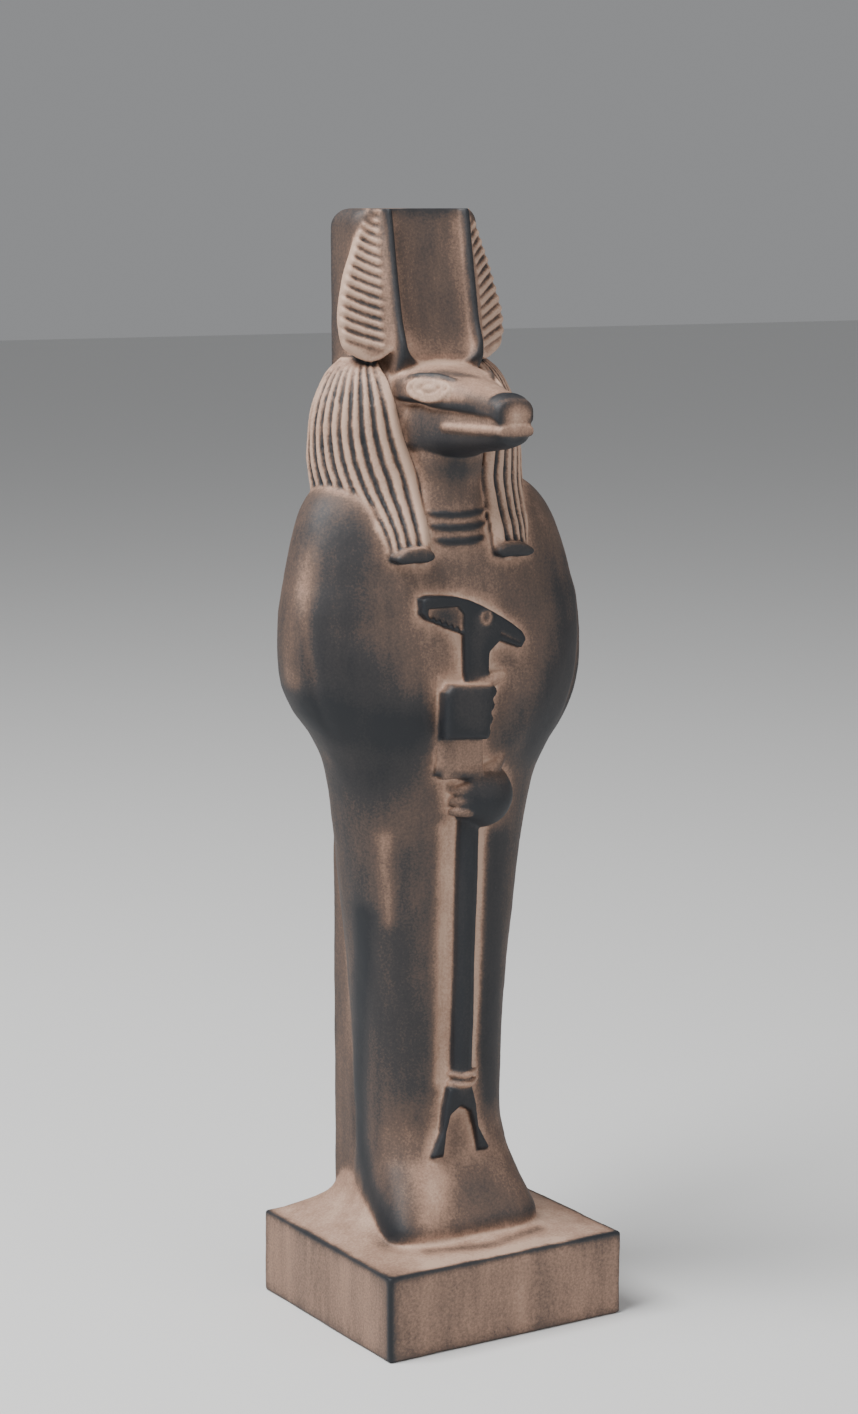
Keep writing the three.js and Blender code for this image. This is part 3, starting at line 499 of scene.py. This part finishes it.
def makeEars():
    for name, side in (("earLeft", 1), ("earRight", -1)):
        def outline(z):
            row = rowAt(crownRows, "z", max(z, 261.4))
            tip = rowAt(earTips, "rise", z - ear["bottom"])
            inner, outer = ear["inner"] + tip["inner"], row["rimX"] + tip["outer"]
            points = [(inner - 0.3, 13)]
            full = row["rimX"] - ear["inner"]
            for share in np.linspace(0, 1, 38):
                x = inner + (outer - inner) * share
                across = (x - ear["inner"]) / full
                y = row["hollow"] + (row["rimY"] - row["hollow"]) * across + ear["dip"] * math.sin(math.pi * across)
                rise = float(ribRise(across, z, full)) - 0.8 * float(ease(share, 0.93, 1)) ** 2
                points.append((x, y - rise))
            edgeY = row["hollow"] + (row["rimY"] - row["hollow"]) * (outer - ear["inner"]) / full
            points.append((outer, edgeY + 1.8))
            points.append((outer - 1.2, edgeY + ear["back"]))
            points.append((min(outer - 1.5, slab["half"] - 1.5), max(edgeY + ear["back"] + 2, 14.5)))
            return np.array([(side * x, y, z) for x, y in points])

        growPiece(name, steps(ear["bottom"], 300, 0.4), outline)


# the head along the muzzle
headRows = [
    {"y": 8, "skull": 13.4, "cheek": 12, "top": 260.4, "ledge": 248.6, "jaw": 232},
    {"y": 1, "skull": 14, "cheek": 12.6, "top": 259.8, "ledge": 249.4, "jaw": 233},
    {"y": -5, "skull": 12.8, "cheek": 11.3, "top": 259.3, "ledge": 249.4, "jaw": 234.2},
    {"y": -10, "skull": 10.9, "cheek": 9.5, "top": 258.6, "ledge": 248.4, "jaw": 235.2},
    {"y": -15, "skull": 9, "cheek": 7.8, "top": 257, "ledge": 247.9, "jaw": 236.2},
    {"y": -20, "skull": 7.6, "cheek": 6.5, "top": 255.5, "ledge": 247.6, "jaw": 237.1},
    {"y": -26, "skull": 6.6, "cheek": 5.6, "top": 254, "ledge": 247.3, "jaw": 238},
    {"y": -32, "skull": 6.1, "cheek": 5.2, "top": 252.8, "ledge": 246.9, "jaw": 239},
    {"y": -35.2, "skull": 5.8, "cheek": 4.9, "top": 252.1, "ledge": 245.9, "jaw": 240},
    {"y": -36.3, "skull": 5.1, "cheek": 4.3, "top": 251.4, "ledge": 245, "jaw": 241.2},
]
lip = {"top": 244.9, "bottom": 242.1, "corner": -12.4, "front": -36.9, "proud": 0.8}


# a ring across the head, its lower half squarer than its upper half
def headRing(y, half, top, bottom, below, count=72):
    turn = 2 * math.pi * (np.arange(count) + 0.5) / count
    power = np.where(np.sin(turn) > 0, 2 / 2.3, 2 / below)
    middle = bottom + (top - bottom) * 0.4
    x = half * np.sign(np.cos(turn)) * np.abs(np.cos(turn)) ** power
    reach = np.where(np.sin(turn) > 0, top - middle, middle - bottom)
    z = middle + reach * np.sign(np.sin(turn)) * np.abs(np.sin(turn)) ** power
    return np.column_stack([x, np.full(count, y), z])


def makeHead():
    def skull(y):
        row = rowAt(headRows, "y", y)
        return headRing(y, row["skull"], row["top"], row["ledge"], 6)

    def jaw(y):
        row = rowAt(headRows, "y", y)
        return headRing(y, row["cheek"], row["ledge"] + 4, row["jaw"], 2.6)

    def lips(y):
        half = valueAt(headRows, "y", "cheek", y) + lip["proud"] * float(ease(y, lip["corner"], lip["corner"] - 2.5))
        middle, reach = (lip["top"] + lip["bottom"]) / 2, (lip["top"] - lip["bottom"]) / 2
        reach *= 0.35 + 0.65 * float(ease(y, lip["corner"] + 0.2, lip["corner"] - 2))
        x, z = oval(half, middle - reach, middle + reach, 4, 48)
        return np.column_stack([x, np.full(48, y), z])

    growPiece("skull", steps(8, -36.3, 1), skull)
    growPiece("jaw", steps(8, -36.3, 1), jaw)
    growPiece("lips", steps(lip["corner"], lip["front"], 0.8), lips)
    addBall("noseCap", (0, -32, 250), (5.9, 4.2, 3.3))


eye = {"x": 9.9, "y": -10.6, "z": 253.4, "turn": 1.18, "tilt": 0.12,
       "rim": (13, 5.8, 0.75), "lid": (9, 3.5, 0.6), "ball": (5.6, 2.2, 1.5)}
brow = {"points": [(13, -3.4, 257.2), (12, -7.4, 258.6), (9, -12.4, 258.2), (6, -16.6, 257.2)],
        "radii": [0.5, 0.95, 1, 0.5]}


# points moved onto the nearest place of a piece, and then out again a little
def laidOn(piece, points, inward, rise):
    tree = BVHTree.FromPolygons([v.co for v in piece.data.vertices], [p.vertices[:] for p in piece.data.polygons])
    laid = []
    for point in points:
        laid.append(tree.find_nearest(Vector(point))[0] - inward * rise)
    return laid


def makeFace():
    skull = next(piece for piece in pieces if piece.name == "skull")
    for name, side in (("Left", 1), ("Right", -1)):
        place = (Matrix.Translation((side * eye["x"], eye["y"], eye["z"]))
                 @ Euler((eye["tilt"], 0, side * eye["turn"])).to_matrix().to_4x4())
        for part in ("rim", "lid"):
            length, height, radius = eye[part]
            points = []
            for angle in np.linspace(0, 2 * math.pi, 12, endpoint=False):
                x, z = length / 2 * math.cos(angle), height / 2 * math.sin(angle)
                z *= 0.75 + 0.25 * abs(math.sin(angle))
                points.append(place @ Vector((x, 0, z)))
            inward = place.to_3x3() @ Vector((0, 1, 0))
            bendRod(f"eye{part}{name}", laidOn(skull, points, inward, 0.15), [radius] * 12, closed=True)
        length, height, depth = eye["ball"]
        addBall(f"eyeball{name}", laidOn(skull, [place.translation], inward, -0.5)[0],
                (length / 2, depth, height / 2), place.to_euler())
        line = [(side * x, y, z) for x, y, z in brow["points"]]
        bendRod(f"brow{name}", laidOn(skull, line, inward, 0), brow["radii"])


# the sceptre's head, and its neck that goes down behind the upper fist
sceptre = {"front": -15, "back": -9, "bevel": 0.8}
sceptreHead = [(-14.6, 198.8), (-14.9, 195), (-13.4, 193.4), (-2, 188.8), (-1.6, 172), (6, 172),
               (6.4, 183.4), (9.7, 186.2), (16.4, 183.8), (17.8, 186.2), (16.6, 188.4), (13.6, 190.7),
               (10.4, 192.7), (7, 194.6), (3.6, 196.3), (0, 197.8), (-4, 198.9), (-8, 199.4), (-12.6, 199.5)]
crest = {"left": -13, "right": -1.8, "top": 196.4, "lowLeft": 194.6, "lowRight": 189.9, "teeth": 6, "bite": 1.2,
         "depth": 1.2}
snoutGroove = {"points": [(9.4, 188.6), (13, 187), (16.2, 185.4)], "radius": 0.7}
headEye = {"x": 4.8, "z": 193, "wide": 1.5, "tall": 1.8, "radius": 0.5}
shaftPoints = [(2.6, -11, 178), (2, -9.8, 133), (1.1, -7.8, 64)]
shaft = {"radius": 3.3}
rings = {"heights": [65, 67.6], "x": 1.5, "half": 4.6, "front": -11.4, "back": -8.2, "radius": 0.8}
fork = {"top": 64, "apex": 58.6, "foot": 45.4, "halfTop": 3.6, "halfApex": 5, "halfMiddle": 5.8, "halfFoot": 9.2,
        "leg": 3.6, "front": -11, "thickness": 7, "bevel": 1}


def shaftCentre(z):
    heights = [point[2] for point in reversed(shaftPoints)]
    return np.interp(z, heights, [point[0] for point in reversed(shaftPoints)])


# one piece is cut out of another and then thrown away
def cutAway(piece, tool):
    clearSelection()
    bpy.context.view_layer.objects.active = piece
    cut = piece.modifiers.new("cut", "BOOLEAN")
    cut.operation = "DIFFERENCE"
    cut.solver = "EXACT"
    cut.object = tool
    bpy.ops.object.modifier_apply(modifier="cut")
    pieces.remove(tool)
    bpy.data.objects.remove(tool)


def makeSceptre():
    head = cutPlate("sceptreHead", sceptreHead, sceptre["front"], sceptre["back"], sceptre["bevel"])
    saw = [(crest["left"], crest["top"]), (crest["left"], crest["lowLeft"])]
    for k in range(crest["teeth"]):
        for share, drop in ((0.35, crest["bite"]), (1, 0)):
            along = (k + share) / crest["teeth"]
            saw.append((crest["left"] + (crest["right"] - crest["left"]) * along,
                        crest["lowLeft"] + (crest["lowRight"] - crest["lowLeft"]) * along - drop))
    saw += [(crest["right"], crest["top"] - 2.2), (crest["right"] - 1.8, crest["top"])]
    hollow = cutPlate("crestHollow", saw, sceptre["front"] - 2, sceptre["front"] + crest["depth"], 0.05)
    cutAway(head, hollow)
    groove = bendRod("snoutCut", [(x, sceptre["front"], z) for x, z in snoutGroove["points"]],
                     [snoutGroove["radius"]] * 3)
    cutAway(head, groove)
    circle = [(headEye["x"] + headEye["wide"] * math.cos(a), sceptre["front"] - 0.05,
               headEye["z"] + headEye["tall"] * math.sin(a)) for a in np.linspace(0, 2 * math.pi, 8, endpoint=False)]
    bendRod("sceptreEye", circle, [headEye["radius"]] * 8, closed=True)
    bendRod("shaft", shaftPoints, [shaft["radius"]] * 3)
    for k, z in enumerate(rings["heights"]):
        half, back = rings["half"], rings["back"]
        bendRod(f"ring{k}", [(rings["x"] - half, back, z), (rings["x"], rings["front"], z - 0.3),
                             (rings["x"] + half, back, z)], [rings["radius"]] * 3)
    middle = (fork["apex"] + fork["foot"]) / 2
    inner = fork["halfFoot"] - fork["leg"]
    right = [(fork["halfTop"], fork["top"]), (fork["halfApex"], fork["apex"]), (fork["halfMiddle"], middle),
             (fork["halfFoot"], fork["foot"]), (inner, fork["foot"]), (inner - 1, middle),
             (inner - 2.4, fork["apex"] - 2)]
    outline = [(-x, z) for x, z in right] + [(0, fork["apex"])] + right[::-1]
    cutPlate("fork", outline, fork["front"], fork["front"] + fork["thickness"], fork["bevel"])


fist = {"left": -9.4, "bottom": 160.6, "top": 175, "rightLow": 5, "rightTop": 7.2, "front": -18.4, "back": -6,
        "bevel": 1.7}
knuckles = {"count": 4, "radius": 1.9, "behind": 1.4}
rightThumb = {"points": [(3, -13, 175.4), (7.5, -13.4, 176), (12, -12.4, 177.2)], "radii": [2.5, 2.3, 1.3]}


def makeUpperFist():
    edge = fist["rightLow"] - 1
    cutPlate("upperFist", [(fist["left"], fist["bottom"] + 0.8), (edge, fist["bottom"]), (edge + 2, fist["top"]),
                           (fist["left"] + 2, fist["top"] + 1.2), (fist["left"], fist["top"] - 1)],
             fist["front"], fist["back"], fist["bevel"])
    span = (fist["top"] - fist["bottom"]) / knuckles["count"]
    lean = (fist["rightTop"] - fist["rightLow"]) / (knuckles["count"] - 1)
    for k in range(knuckles["count"]):
        x = fist["rightLow"] - knuckles["radius"] + lean * k
        z = fist["bottom"] + (k + 0.5) * span
        bendRod(f"knuckle{k}", [(x, fist["front"] + knuckles["behind"], z), (x, -11, z), (x, fist["back"], z)],
                [knuckles["radius"]] * 3)
    bendRod("rightThumb", rightThumb["points"], rightThumb["radii"])


lowerFist = {"x": 6, "y": -8.8, "z": 144.2, "half": 9.8, "deep": 8.9, "tall": 9}
fingers = {"heights": [140.6, 143.7, 146.8], "points": [(-4.2, -10.6, 0), (-0.8, -13.6, 0.1), (3, -14.2, 0.3)],
           "radii": [1, 1.45, 1.5]}
leftThumb = {"points": [(-9.4, -11.6, 152.8), (-4, -13, 152), (4, -12.6, 151)], "radii": [1.7, 1.9, 2.6]}
wristEdge = {"points": [(3, -12.4, 150), (9, -12, 152), (12.6, -10.4, 156.4)], "radii": [2, 2.2, 1.8]}


def makeLowerFist():
    addBall("lowerFist", (lowerFist["x"], lowerFist["y"], lowerFist["z"]),
            (lowerFist["half"], lowerFist["deep"], lowerFist["tall"]))
    for k, height in enumerate(fingers["heights"]):
        bendRod(f"finger{k}", [(x, y, z + height) for x, y, z in fingers["points"]], fingers["radii"])
    bendRod("leftThumb", leftThumb["points"], leftThumb["radii"])
    bendRod("wristEdge", wristEdge["points"], wristEdge["radii"])
    addBall("palm", (0.5, -7.6, 148), (7, 5.6, 5))


# between the fists the gap is filled, beside the edge where the shroud opens for the hand
filling = {"left": -8, "right": 4.5, "bottom": 150, "top": 163, "front": -14.4, "back": -6, "bevel": 0.8}
opening = {"points": [(-8.6, -12.4, 154), (-8.9, -13.6, 166), (-8.9, -13.2, 178)], "radii": [0.7, 0.8, 0.6]}


def makeOpening():
    left, right, bottom, top = (filling[key] for key in ("left", "right", "bottom", "top"))
    cutPlate("filling", [(left, bottom), (right, bottom), (right, top), (left, top)],
             filling["front"], filling["back"], filling["bevel"])
    bendRod("opening", opening["points"], opening["radii"])


makeBase()
makeSlope()
makeSlab()
makeShroud()
makeNeck()
makeWig()
makeTemples()
makeHems()
makeCrown()
makeEars()
makeHead()
makeFace()
makeSceptre()
makeUpperFist()
makeLowerFist()
makeOpening()
formNames = [piece.name for piece in pieces]
print("shaped", len(pieces), "forms")

cast = {"voxel": 0.4, "soften": 4, "swellSize": 16, "swell": 0.5, "grainSize": 1.5, "grain": 0.1, "ratio": 0.2}


def applyModifier(piece, kind, **settings):
    clearSelection()
    piece.select_set(True)
    bpy.context.view_layer.objects.active = piece
    modifier = piece.modifiers.new(kind.lower(), kind)
    for key, value in settings.items():
        setattr(modifier, key, value)
    bpy.ops.object.modifier_apply(modifier=modifier.name)


def joinPieces():
    clearSelection()
    for k, piece in enumerate(pieces):
        form = piece.data.attributes.new("form", "INT", "FACE")
        form.data.foreach_set("value", [k] * len(piece.data.polygons))
        piece.select_set(True)
    bpy.context.view_layer.objects.active = pieces[0]
    bpy.ops.object.join()
    statue = bpy.context.object
    statue.name = "Statue"
    return statue


def pointsOf(mesh, kind="co"):
    flat = np.empty(len(mesh.vertices) * 3)
    if kind == "co":
        mesh.vertices.foreach_get("co", flat)
    else:
        mesh.vertex_normals.foreach_get("vector", flat)
    return flat.reshape(-1, 3)


def setPoints(mesh, points):
    mesh.vertices.foreach_set("co", points.ravel())
    mesh.update()


# each value is mixed with its neighbours' mean a number of times
def soften(mesh, values, times, share=1.0):
    edges = np.empty(len(mesh.edges) * 2, dtype=int)
    mesh.edges.foreach_get("vertices", edges)
    a, b = edges[0::2], edges[1::2]
    count = len(mesh.vertices)
    degree = np.maximum(np.bincount(edges, minlength=count), 1)
    columns = values.reshape(count, -1).copy()
    for _ in range(times):
        for k in range(columns.shape[1]):
            total = np.bincount(a, columns[b, k], count) + np.bincount(b, columns[a, k], count)
            columns[:, k] += share * (total / degree - columns[:, k])
    return columns.reshape(values.shape)


def toLine(points, line):
    nearest = np.full(len(points), 1e9)
    line = np.array(line, float)
    for start, end in zip(line[:-1], line[1:]):
        way = end - start
        share = np.clip((points - start) @ way / (way @ way), 0, 1)
        nearest = np.minimum(nearest, np.linalg.norm(points - start - share[:, None] * way, axis=1))
    return nearest


def castStatue():
    statue = joinPieces()
    pattern = statue.data.copy()
    applyModifier(statue, "REMESH", mode="VOXEL", voxel_size=cast["voxel"])
    applyModifier(statue, "SMOOTH", factor=0.5, iterations=cast["soften"])
    for name, size, strength in (("swell", cast["swellSize"], cast["swell"]), ("grain", cast["grainSize"], cast["grain"])):
        cloud = bpy.data.textures.new(name, "CLOUDS")
        cloud.noise_scale = size
        applyModifier(statue, "DISPLACE", texture=cloud, texture_coords="LOCAL", strength=strength, mid_level=0.5)
    mesh = statue.data
    points = np.clip(pointsOf(mesh), np.array(low), np.array(high))
    setPoints(mesh, points)
    print("cast", len(mesh.vertices), "points")
    normals = pointsOf(mesh, "normal")
    smooth = points
    for name, times in (("hollowFine", 6), ("hollowMiddle", 24), ("hollowBroad", 90)):
        smooth = soften(mesh, smooth, times)
        hollow = mesh.attributes.new(name, "FLOAT", "POINT")
        hollow.data.foreach_set("value", ((smooth - points) * normals).sum(axis=1))
    applyModifier(statue, "DECIMATE", decimate_type="COLLAPSE", ratio=cast["ratio"])
    print("thinned to", len(statue.data.polygons), "faces")
    return statue, pattern


statue, pattern = castStatue()


# how light each form is, and how much its upward sides, fine hollows and broad hollows add; the lighter upward sides
# and darker undersides are partly tan wash laid on from above and partly painted shade on the undersides
coatsAndShade = {"": (0.5, 0.22, 0.5, 1), "base": (0.68, 0.1, 0.2, 0.3), "slope": (0.8, 0.05, 0, 0.3),
         "slab": (0.5, 0, 0.5, 0.3), "wig": (0.72, 0, -5, 0), "temples": (0.5, 0, 0.5, 0.3),
         "hem": (0.3, 0.45, 0.5, 0), "collar": (0.4, 0.1, 2, 1), "crown": (0.46, 0.1, 0.5, 0.6),
         "ear": (0.84, 0, -3.2, 0), "skull": (0.6, 0.25, 1.4, 0.5), "jaw": (0.38, 0.35, 1.2, 0.5),
         "lips": (0.7, 0.35, 0, 0), "noseCap": (0.25, -0.2, 0, 0), "eye": (0.85, 0.05, -2, 0),
         "brow": (0.35, 0.1, 0, 0), "neck": (0.56, 0.1, 1, 0.5), "sceptreHead": (0.14, 0.1, 2, 0.6),
         "sceptreEye": (0.75, 0, 0, 0), "shaft": (0.12, 0, 1.5, 0.2), "ring": (0.8, 0, 0, 0),
         "fork": (0.16, 0.1, 1.5, 0.3), "upperFist": (0.22, 0.65, 1, 0.2), "knuckle": (0.22, 0.6, 1, 0.2),
         "rightThumb": (0.8, 0.1, 0, 0), "lowerFist": (0.1, 0.6, 1, 0), "finger": (0.75, 0.1, 1, 0),
         "leftThumb": (0.55, 0.5, 0, 0), "wristEdge": (0.55, 0.5, 0, 0), "filling": (0.72, 0, 0.5, 0),
         "opening": (0.8, 0, 0, 0)}

# darker and lighter places, some of them painted shadows and one a painted highlight: the line they follow, how wide
# they are and how much they change
marksAndPaintedLight = [
    {"line": [(-22.7, 1.8, 112), (-21.1, 7.8, 80), (-20.4, 10, 62), (-20.1, 9.8, 48), (-21.2, 3.7, 36),
              (-23.9, -11.9, 27)], "wide": 3.6, "change": -0.5},
    {"line": [(-17, -6, 128), (-16, -5, 90), (-15, -5, 66)], "wide": 6, "change": -0.16},
    {"line": [(-21, -5, 134), (-20, -5, 112)], "wide": 2.6, "change": 0.3},
    # below the right forearm: partly dark paint, partly painted shadow under the forearm
    {"line": [(-42, -3, 168), (-30, -10, 165), (-14, -14, 164)], "wide": 7, "change": -0.42},
    {"line": [(-34, -7, 216), (-38, -5, 190), (-34, -8, 180)], "wide": 9, "change": -0.26},
    {"line": [(-42, 0, 210), (-44, 2, 178)], "wide": 4, "change": 0.3},
    {"line": [(34, -8, 200), (34, -9, 176), (26, -11, 158)], "wide": 8, "change": -0.26},
    # lower under the right forearm: partly dark paint, partly painted shadow
    {"line": [(-28, -4, 152), (-20, -8, 152)], "wide": 9, "change": -0.25},
    {"line": [(-5.6, -9, 136), (-6, -8, 66)], "wide": 2, "change": 0.42},
    # painted highlight along the right edge of the channel beside the shaft
    {"line": [(8, -8, 136), (7, -7.4, 100), (6, -7, 66)], "wide": 1.3, "change": 0.42},
    {"line": [(14, -8, 130), (12, -6, 60)], "wide": 4, "change": -0.25},
    {"line": [(0, -9, 190), (-8, -9, 184), (-10, -10, 172)], "wide": 5.5, "change": 0.24},
    {"line": [(1, -10, 55), (1, -11, 50)], "wide": 3.4, "change": -0.06},
    {"line": [(3, -15, 37), (6, -20, 33)], "wide": 6.5, "change": -0.2},
    {"line": [(-10, -14, 40), (-14, -20, 30)], "wide": 6, "change": 0.25},
    {"line": [(-37, -34, 23.6), (37, -34, 23.6)], "wide": 1, "change": -0.7},
    {"line": [(-37, -34, 23.6), (-37, 34, 23.6)], "wide": 1, "change": -0.7},
    {"line": [(-37, -34, 23), (-37, -34, 0)], "wide": 1.1, "change": -0.7},
    {"line": [(37, -34, 23.6), (37, 34, 23.6)], "wide": 1, "change": -0.6},
    {"line": [(-22, -31, 23.4), (18, -31, 23.4)], "wide": 3, "change": 0.25},
    # painted shadow along the toes where the feet meet the slope
    {"line": [(-18, -22, 24), (0, -26, 24), (18, -22, 24)], "wide": 2, "change": -0.3},
    {"line": [(-12, -3, 300), (-12.4, -4, 280), (-12.6, -4, 272)], "wide": 2, "change": -0.34},
    {"line": [(12, -3, 300), (12.4, -4, 280), (12.6, -4, 266)], "wide": 2, "change": -0.4},
    {"line": [(9, 0, 298), (9, 0, 284)], "wide": 1.8, "change": 0.35},
    {"line": [(-8, -1, 265), (0, -2, 262), (8, -1, 265)], "wide": 3.5, "change": 0.26},
    {"line": [(-11, -6, 258.4), (-5, -13, 257.4), (0, -16, 257)], "wide": 1.8, "change": -0.34},
    # painted shadow under the cheek ledge of the skull
    {"line": [(-13, -4, 249.8), (-9, -17, 249.4), (-6, -26, 248.6)], "wide": 1.2, "change": -0.42},
    {"line": [(-11.6, -6, 252), (-7.5, -20, 251.4)], "wide": 2.6, "change": 0.22},
    {"line": [(0, -36.6, 248.2), (3, -36, 248)], "wide": 3.4, "change": 0.35},
    # painted shadow under the jaw, down the middle of the throat
    {"line": [(-2, -13, 238), (-1, -12, 230)], "wide": 4, "change": -0.34},
    {"line": [(-13, -8, 250), (-15.6, -6, 236)], "wide": 1.6, "change": -0.3}]


# what each point of the cast is part of, read from the forms before they were cast
def formsAt(points):
    faces = [polygon.vertices[:] for polygon in pattern.polygons]
    tree = BVHTree.FromPolygons([v.co for v in pattern.vertices], faces)
    order = np.empty(len(faces), dtype=int)
    pattern.attributes["form"].data.foreach_get("value", order)
    return order[[tree.find_nearest(Vector(point))[2] for point in points]]


def coatAndShadeOf(name):
    fits = [start for start in coatsAndShade if name.startswith(start)]
    return coatsAndShade[max(fits, key=len)]


def paintStatue():
    mesh = statue.data
    points, normals = pointsOf(mesh), pointsOf(mesh, "normal")
    hollow = []
    for name in ("hollowFine", "hollowMiddle", "hollowBroad"):
        values = np.empty(len(points))
        mesh.attributes[name].data.foreach_get("value", values)
        hollow.append(values)
    coatAndShade = np.array([coatAndShadeOf(name) for name in formNames])[formsAt(points)]
    # upward sides lighter and undersides darker: partly the tan wash, partly painted shade
    wash = coatAndShade[:, 0] + coatAndShade[:, 1] * normals[:, 2] + coatAndShade[:, 2] * hollow[0]
    wash += coatAndShade[:, 3] * (0.6 * hollow[1] + 0.2 * hollow[2])
    wash = soften(mesh, wash, 2)
    # marks along lines, among them painted shadows and a painted highlight
    for stroke in marksAndPaintedLight:
        wash += stroke["change"] * np.exp(-(toLine(points, stroke["line"]) / stroke["wide"]) ** 2)
    # the tan wash level, with painted shade, painted shadows and a painted highlight mixed in
    layer = mesh.attributes.new("wash", "FLOAT", "POINT")
    layer.data.foreach_set("value", np.clip(wash, 0, 1))


paintStatue()
print("painted")

stone = {"stops": [(0.0, (0.008, 0.01, 0.014)), (0.3, (0.03, 0.027, 0.028)), (0.55, (0.12, 0.075, 0.055)),
                   (0.78, (0.33, 0.2, 0.14)), (1.0, (0.52, 0.35, 0.26))],
         "speckle": 1.6, "speckleDepth": 0.5, "patches": 0.11, "patchDepth": 0.5, "streak": 0.16,
         "roughness": 0.62}


def addNoise(nodes, links, source, stretch, size, detail):
    scale = nodes.new("ShaderNodeMapping")
    scale.inputs["Scale"].default_value = (1000, 1000, 1000 * stretch)
    links.new(source, scale.inputs["Vector"])
    noise = nodes.new("ShaderNodeTexNoise")
    noise.inputs["Scale"].default_value = size
    noise.inputs["Detail"].default_value = detail
    noise.inputs["Roughness"].default_value = 0.65
    links.new(scale.outputs["Vector"], noise.inputs["Vector"])
    return noise.outputs["Fac"]


def addShare(nodes, links, value, share, onto):
    add = nodes.new("ShaderNodeMath")
    add.operation = "MULTIPLY_ADD"
    add.inputs[1].default_value = share
    links.new(value, add.inputs[0])
    links.new(onto, add.inputs[2])
    return add.outputs[0]


def makeStone():
    material = bpy.data.materials.new("castStone")
    material.use_nodes = True
    nodes, links = material.node_tree.nodes, material.node_tree.links
    shader = nodes["Principled BSDF"]
    place = nodes.new("ShaderNodeTexCoord")
    # reads the tan wash level, which also carries painted shade, painted shadows and a painted highlight
    wash = nodes.new("ShaderNodeAttribute")
    wash.attribute_name = "wash"
    speckle = addNoise(nodes, links, place.outputs["Object"], 1, stone["speckle"], 5)
    patches = addNoise(nodes, links, place.outputs["Object"], stone["streak"], stone["patches"], 4)
    value = addShare(nodes, links, speckle, stone["speckleDepth"], wash.outputs["Fac"])
    value = addShare(nodes, links, patches, stone["patchDepth"], value)
    level = nodes.new("ShaderNodeMath")
    level.operation = "SUBTRACT"
    level.inputs[1].default_value = (stone["speckleDepth"] + stone["patchDepth"]) / 2
    links.new(value, level.inputs[0])
    ramp = nodes.new("ShaderNodeValToRGB")
    stops = ramp.color_ramp.elements
    while len(stops) < len(stone["stops"]):
        stops.new(0.5)
    for stop, (position, colour) in zip(stops, stone["stops"]):
        stop.position = position
        stop.color = (*colour, 1)
    links.new(level.outputs[0], ramp.inputs["Fac"])
    links.new(ramp.outputs["Color"], shader.inputs["Base Color"])
    shader.inputs["Roughness"].default_value = stone["roughness"]
    return material


clearSelection()
statue.select_set(True)
bpy.context.view_layer.objects.active = statue
bpy.ops.object.mode_set(mode="EDIT")
bpy.ops.mesh.select_all(action="SELECT")
bpy.ops.transform.resize(value=(mm, mm, mm), center_override=(0, 0, 0))
bpy.ops.object.mode_set(mode="OBJECT")
bpy.ops.object.shade_smooth()
statue.data.materials.clear()
statue.data.materials.append(makeStone())
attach(statue, "root")
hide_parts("statue")
print("statue finished")

view = {"azimuth": -31.75, "elevation": 9.1, "distance": 836, "aimAcross": -3.27, "aimHeight": 167.23,
        "focus": 3101, "longSide": 1414}
turn, rise = math.radians(view["azimuth"]), math.radians(view["elevation"])
back = Vector((math.sin(turn) * math.cos(rise), -math.cos(turn) * math.cos(rise), math.sin(rise)))
across = Vector((math.cos(turn), math.sin(turn), 0))
aim = across * view["aimAcross"] + Vector((0, 0, view["aimHeight"]))
upward = back.cross(across)


def placeCamera():
    bpy.ops.object.camera_add(location=(aim + back * view["distance"]) * mm, rotation=(math.pi / 2 - rise, 0, turn))
    camera = bpy.context.object
    camera.data.sensor_width = 36
    camera.data.lens = view["focus"] * 36 / view["longSide"]
    bpy.context.scene.camera = camera


studio = {"key": {"toLeft": 0.55, "up": 0.95, "towards": 0.5, "size": 0.7, "power": 26},
          "fill": {"toLeft": -0.9, "up": 0.35, "towards": 0.8, "size": 1.2, "power": 5},
          "floor": (0.78, 0.78, 0.77), "world": (0.8, 0.81, 0.83), "worldPower": 0.35}


def lightStudio():
    for name in ("key", "fill"):
        light = studio[name]
        offset = upward * light["up"] + back * light["towards"] - across * light["toLeft"]
        place = aim * mm + offset
        bpy.ops.object.light_add(type="AREA", location=place, rotation=(-offset).to_track_quat("-Z", "Y").to_euler())
        lamp = bpy.context.object
        lamp.name = name
        lamp.data.size = light["size"]
        lamp.data.energy = light["power"]
    bpy.ops.mesh.primitive_plane_add(size=12, location=(0, 0, 0))
    floor = bpy.context.object
    floor.name = "floor"
    paint = bpy.data.materials.new("floorPaint")
    paint.use_nodes = True
    paint.node_tree.nodes["Principled BSDF"].inputs["Base Color"].default_value = (*studio["floor"], 1)
    paint.node_tree.nodes["Principled BSDF"].inputs["Roughness"].default_value = 0.9
    floor.data.materials.append(paint)
    world = bpy.data.worlds.new("studio")
    world.use_nodes = True
    world.node_tree.nodes["Background"].inputs["Color"].default_value = (*studio["world"], 1)
    world.node_tree.nodes["Background"].inputs["Strength"].default_value = studio["worldPower"]
    bpy.context.scene.world = world


clearSelection()
placeCamera()
lightStudio()
